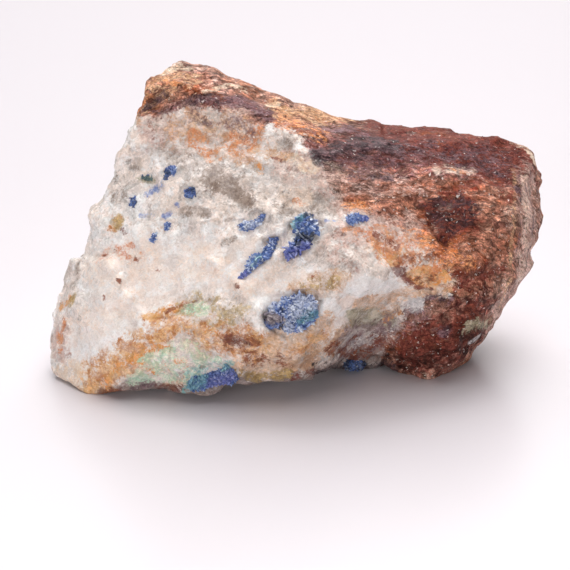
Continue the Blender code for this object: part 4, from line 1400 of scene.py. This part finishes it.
def crystal_crust():
    """Grows small blades over the upper faces of a crust."""
    inputs = {
        "Geometry": ("Geometry", None),
        "Blade": ("Object", None),
        "Density": ("Float", 1.0),
        "Shortest": ("Float", MM),
        "Longest": ("Float", MM),
        "Lean": ("Float", 0.5),
        "Seed": ("Int", 0),
        "Material": ("Material", None),
    }
    tree, given, made = new_tree(
        "crystal crust", "GeometryNodeTree", inputs, {"Geometry": ("Geometry", None)}
    )
    take = given.outputs
    dome = named_value(tree, "dome")
    inputs = {
        "Mesh": take["Geometry"],
        "Selection": reckon(tree, "GREATER_THAN", dome, 0.8 * UPPER_MARK),
        "Density": take["Density"],
        "Seed": take["Seed"],
    }
    spots = add_node(tree, "GeometryNodeDistributePointsOnFaces", inputs).outputs
    blade = add_node(tree, "GeometryNodeObjectInfo", {"Object": take["Blade"]}).outputs["Geometry"]

    def random_value(low, high, turn):
        seed = reckon(tree, "ADD", take["Seed"], turn)
        made = add_node(tree, "FunctionNodeRandomValue", {"Seed": seed}, data_type="FLOAT")
        values = [socket for socket in made.inputs if socket.type == "VALUE"]
        limits = [socket for socket in values if socket.name in ("Min", "Max")]
        for socket, limit in zip(limits, (low, high)):
            feed(tree, socket, limit)
        return [socket for socket in made.outputs if socket.type == "VALUE"][0]

    lean = reckon(tree, "MULTIPLY", take["Lean"], -1.0)
    inputs = {
        0: random_value(lean, take["Lean"], 1),
        1: random_value(lean, take["Lean"], 2),
        2: random_value(0.0, math.tau, 3),
    }
    tilt = add_node(tree, "ShaderNodeCombineXYZ", inputs).outputs[0]
    inputs = {"Rotation": spots["Rotation"], "Rotate By": tilt}
    turned = add_node(tree, "FunctionNodeRotateRotation", inputs, rotation_space="LOCAL").outputs[0]
    chance = reckon(tree, "POWER", random_value(0.0, 1.0, 4), 2.2)
    size = blend_values(tree, chance, take["Shortest"], take["Longest"])
    size = reckon(tree, "MULTIPLY", size, remap(tree, dome, 0.0, 0.6, 0.45, 1.0))
    inputs = {"Points": spots["Points"], "Instance": blade, "Rotation": turned, "Scale": size}
    stood = add_node(tree, "GeometryNodeInstanceOnPoints", inputs).outputs[0]
    toned = stored_value(tree, stood, "tone", random_value(0.0, 1.0, 5), "INSTANCE")
    both = add_node(tree, "GeometryNodeJoinGeometry")
    tree.links.new(toned, both.inputs[0])
    tree.links.new(take["Geometry"], both.inputs[0])
    real = add_node(tree, "GeometryNodeRealizeInstances", {"Geometry": both.outputs[0]})
    inputs = {"Geometry": real.outputs[0], "Material": take["Material"]}
    painted = add_node(tree, "GeometryNodeSetMaterial", inputs)
    tree.links.new(painted.outputs[0], made.inputs["Geometry"])
    return tree


# The crystals' layers, in the same terms as the rock's; the pale one paints highlights in part, and the
# black one paints shade in the recess.
CRYSTAL_LAYERS = {
    "violet": (tint(56, 54, 148), tint(150, 152, 210), 0.8, 0.8, 0.75, 0.25),
    "teal": (tint(64, 128, 150), tint(160, 206, 208), 0.9, 0.8, 0.75, 0.25),
    "pale": (tint(142, 156, 190), tint(222, 226, 236), 1.0, 0.8, 0.85, 0.25),
    "brown": (tint(104, 88, 92), tint(190, 176, 172), 1.0, 0.8, 0.9, 0.45),
    "green": (tint(52, 72, 62), tint(110, 134, 120), 1.0, 0.8, 0.9, 0.40),
    "black": (tint(14, 18, 30), tint(62, 72, 96), 1.0, 0.7, 0.9, 0.22),
}


def linarite_material():
    """Blue blades that each have their own tone, the palest painted near white as highlights, with the
    colours that a group differs in.
    """
    material, tree, surface = new_material("linarite")
    place = add_node(tree, "ShaderNodeTexCoord").outputs["Object"]
    middle = noise_colors(tree, place, 1.0 * MM)
    fine = noise_colors(tree, place, 0.25 * MM)
    tone = reckon(tree, "MAXIMUM", read_layer(tree, "tone"), reckon(tree, "MULTIPLY", fine[2], 0.7))
    color = blend_colors(tree, tone, tint(36, 50, 122), tint(142, 166, 220))
    # Painted highlight: the palest blades and spots turn near white.
    color = blend_colors(tree, remap(tree, tone, 0.55, 0.92), color, tint(232, 236, 242))
    color = blend_colors(tree, reckon(tree, "MULTIPLY", middle[0], 0.4), color, tint(92, 134, 192))
    rough = 0.3
    mask_group = patch_mask()
    for turn, (name, layer) in enumerate(CRYSTAL_LAYERS.items()):
        first, second, breakup, softness, hiding, roughness = layer
        inputs = {
            "Coverage": read_layer(tree, name),
            "Noise": blend_values(tree, 0.5, middle[turn % 3], tone),
            "Breakup": breakup,
            "Softness": softness,
        }
        mask = use_group(tree, mask_group, inputs).outputs["Mask"]
        mask = reckon(tree, "MULTIPLY", mask, hiding)
        paint = blend_colors(tree, blend_values(tree, 0.6, fine[turn % 3], tone), first, second)
        color = blend_colors(tree, mask, color, paint)
        rough = blend_values(tree, mask, rough, roughness)
    color = shaded(tree, color, fine[0], 0.75, 1.2)
    tree.links.new(color, surface.inputs["Base Color"])
    tree.links.new(rough, surface.inputs["Roughness"])
    inputs = {"Strength": 0.4, "Distance": 0.03 * MM, "Height": fine[1]}
    relief = add_node(tree, "ShaderNodeBump", inputs)
    tree.links.new(relief.outputs[0], surface.inputs["Normal"])
    return material


def crystal_groups(rock, tree):
    """Every group as one crust of blades, in the place of its solid."""
    material = linarite_material()
    grower = crystal_crust()
    blade = blade_object()
    for seed, name in enumerate(CRUSTS):
        group = crust_on(rock, tree, name)
        grown = group.modifiers.new("grown", "NODES")
        grown.node_group = grower
        rise = CRUSTS[name][0]
        settings = {
            "Blade": blade,
            "Density": (22.0 - 7.0 * rise) / MM**2,
            "Shortest": (0.16 + 0.08 * rise) * MM,
            "Longest": (0.40 + 0.45 * rise) * MM,
            "Lean": 1.15,
            "Seed": seed,
            "Material": material,
        }
        for label, value in settings.items():
            set_input(grown, label, value)
        apply_modifiers(group)
        rest_on_floor(group.data)
        for label, values in coverage(points_of(group.data), tree, CRYSTAL_STAINS).items():
            store_layer(group.data, label, values)
        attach(group, "root")
        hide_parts(name)
    bpy.data.objects.remove(blade)


# The camera, the floor and the lights


def place_camera():
    lens = bpy.data.cameras.new("camera")
    lens.lens = LENS
    lens.sensor_width = SENSOR
    lens.clip_start = 10.0 * MM
    camera = new_object("camera", lens)
    camera.location = EYE
    camera.rotation_euler = (math.pi / 2.0 - CAMERA_TILT, 0.0, 0.0)
    bpy.context.scene.camera = camera


def lay_floor():
    shape = bmesh.new()
    bmesh.ops.create_grid(shape, x_segments=1, y_segments=1, size=3.0)
    floor = new_object("floor", mesh_from(shape, "floor"))
    material, _, surface = new_material("floor")
    surface.inputs["Base Color"].default_value = (0.66, 0.62, 0.645, 1.0)
    surface.inputs["Roughness"].default_value = 0.32
    surface.inputs["Specular IOR Level"].default_value = 0.35
    floor.data.materials.append(material)


# The lamps: where each one hangs and what it is aimed at, in metres, its width and its watts.
MIDDLE = (0.0, 0.0, 0.015)
LAMPS = {
    "back": ((0.04, 0.65, 0.75), (0.0, 0.15, 0.0), 1.00, 10.3),
    "overhead": ((0.04, 0.06, 0.80), MIDDLE, 0.75, 4.4),
    "front_left": ((-0.66, -0.86, 0.14), MIDDLE, 0.60, 4.9),
    "front_right": ((0.56, -0.92, 0.12), MIDDLE, 0.60, 2.6),
}


def hang_lamp(name, place, aim, size, power):
    light = bpy.data.lights.new(name, "AREA")
    light.shape = "DISK"
    light.size = size
    light.energy = power
    lamp = new_object(name, light)
    lamp.location = place
    lamp.rotation_euler = (Vector(aim) - Vector(place)).to_track_quat("-Z", "Y").to_euler()


def light_room():
    for name, lamp in LAMPS.items():
        hang_lamp(name, *lamp)
    world = bpy.data.worlds.new("room")
    bpy.context.scene.world = world
    world.use_nodes = True
    tree = world.node_tree
    aim = add_node(tree, "ShaderNodeTexCoord").outputs["Generated"]
    height = add_node(tree, "ShaderNodeSeparateXYZ", {0: aim}).outputs["Z"]
    sky = tree.nodes["Background"]
    sky.inputs["Color"].default_value = (1.0, 0.97, 0.99, 1.0)
    tree.links.new(remap(tree, height, 0.0, 0.9, 0.14, 0.26), sky.inputs["Strength"])
    bpy.context.scene.view_settings.view_transform = "Standard"


place_camera()
lay_floor()
light_room()
rock, rock_tree = rock_piece()
finish_rock(rock)
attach(rock, "root")
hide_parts("matrix")
crystal_groups(rock, rock_tree)
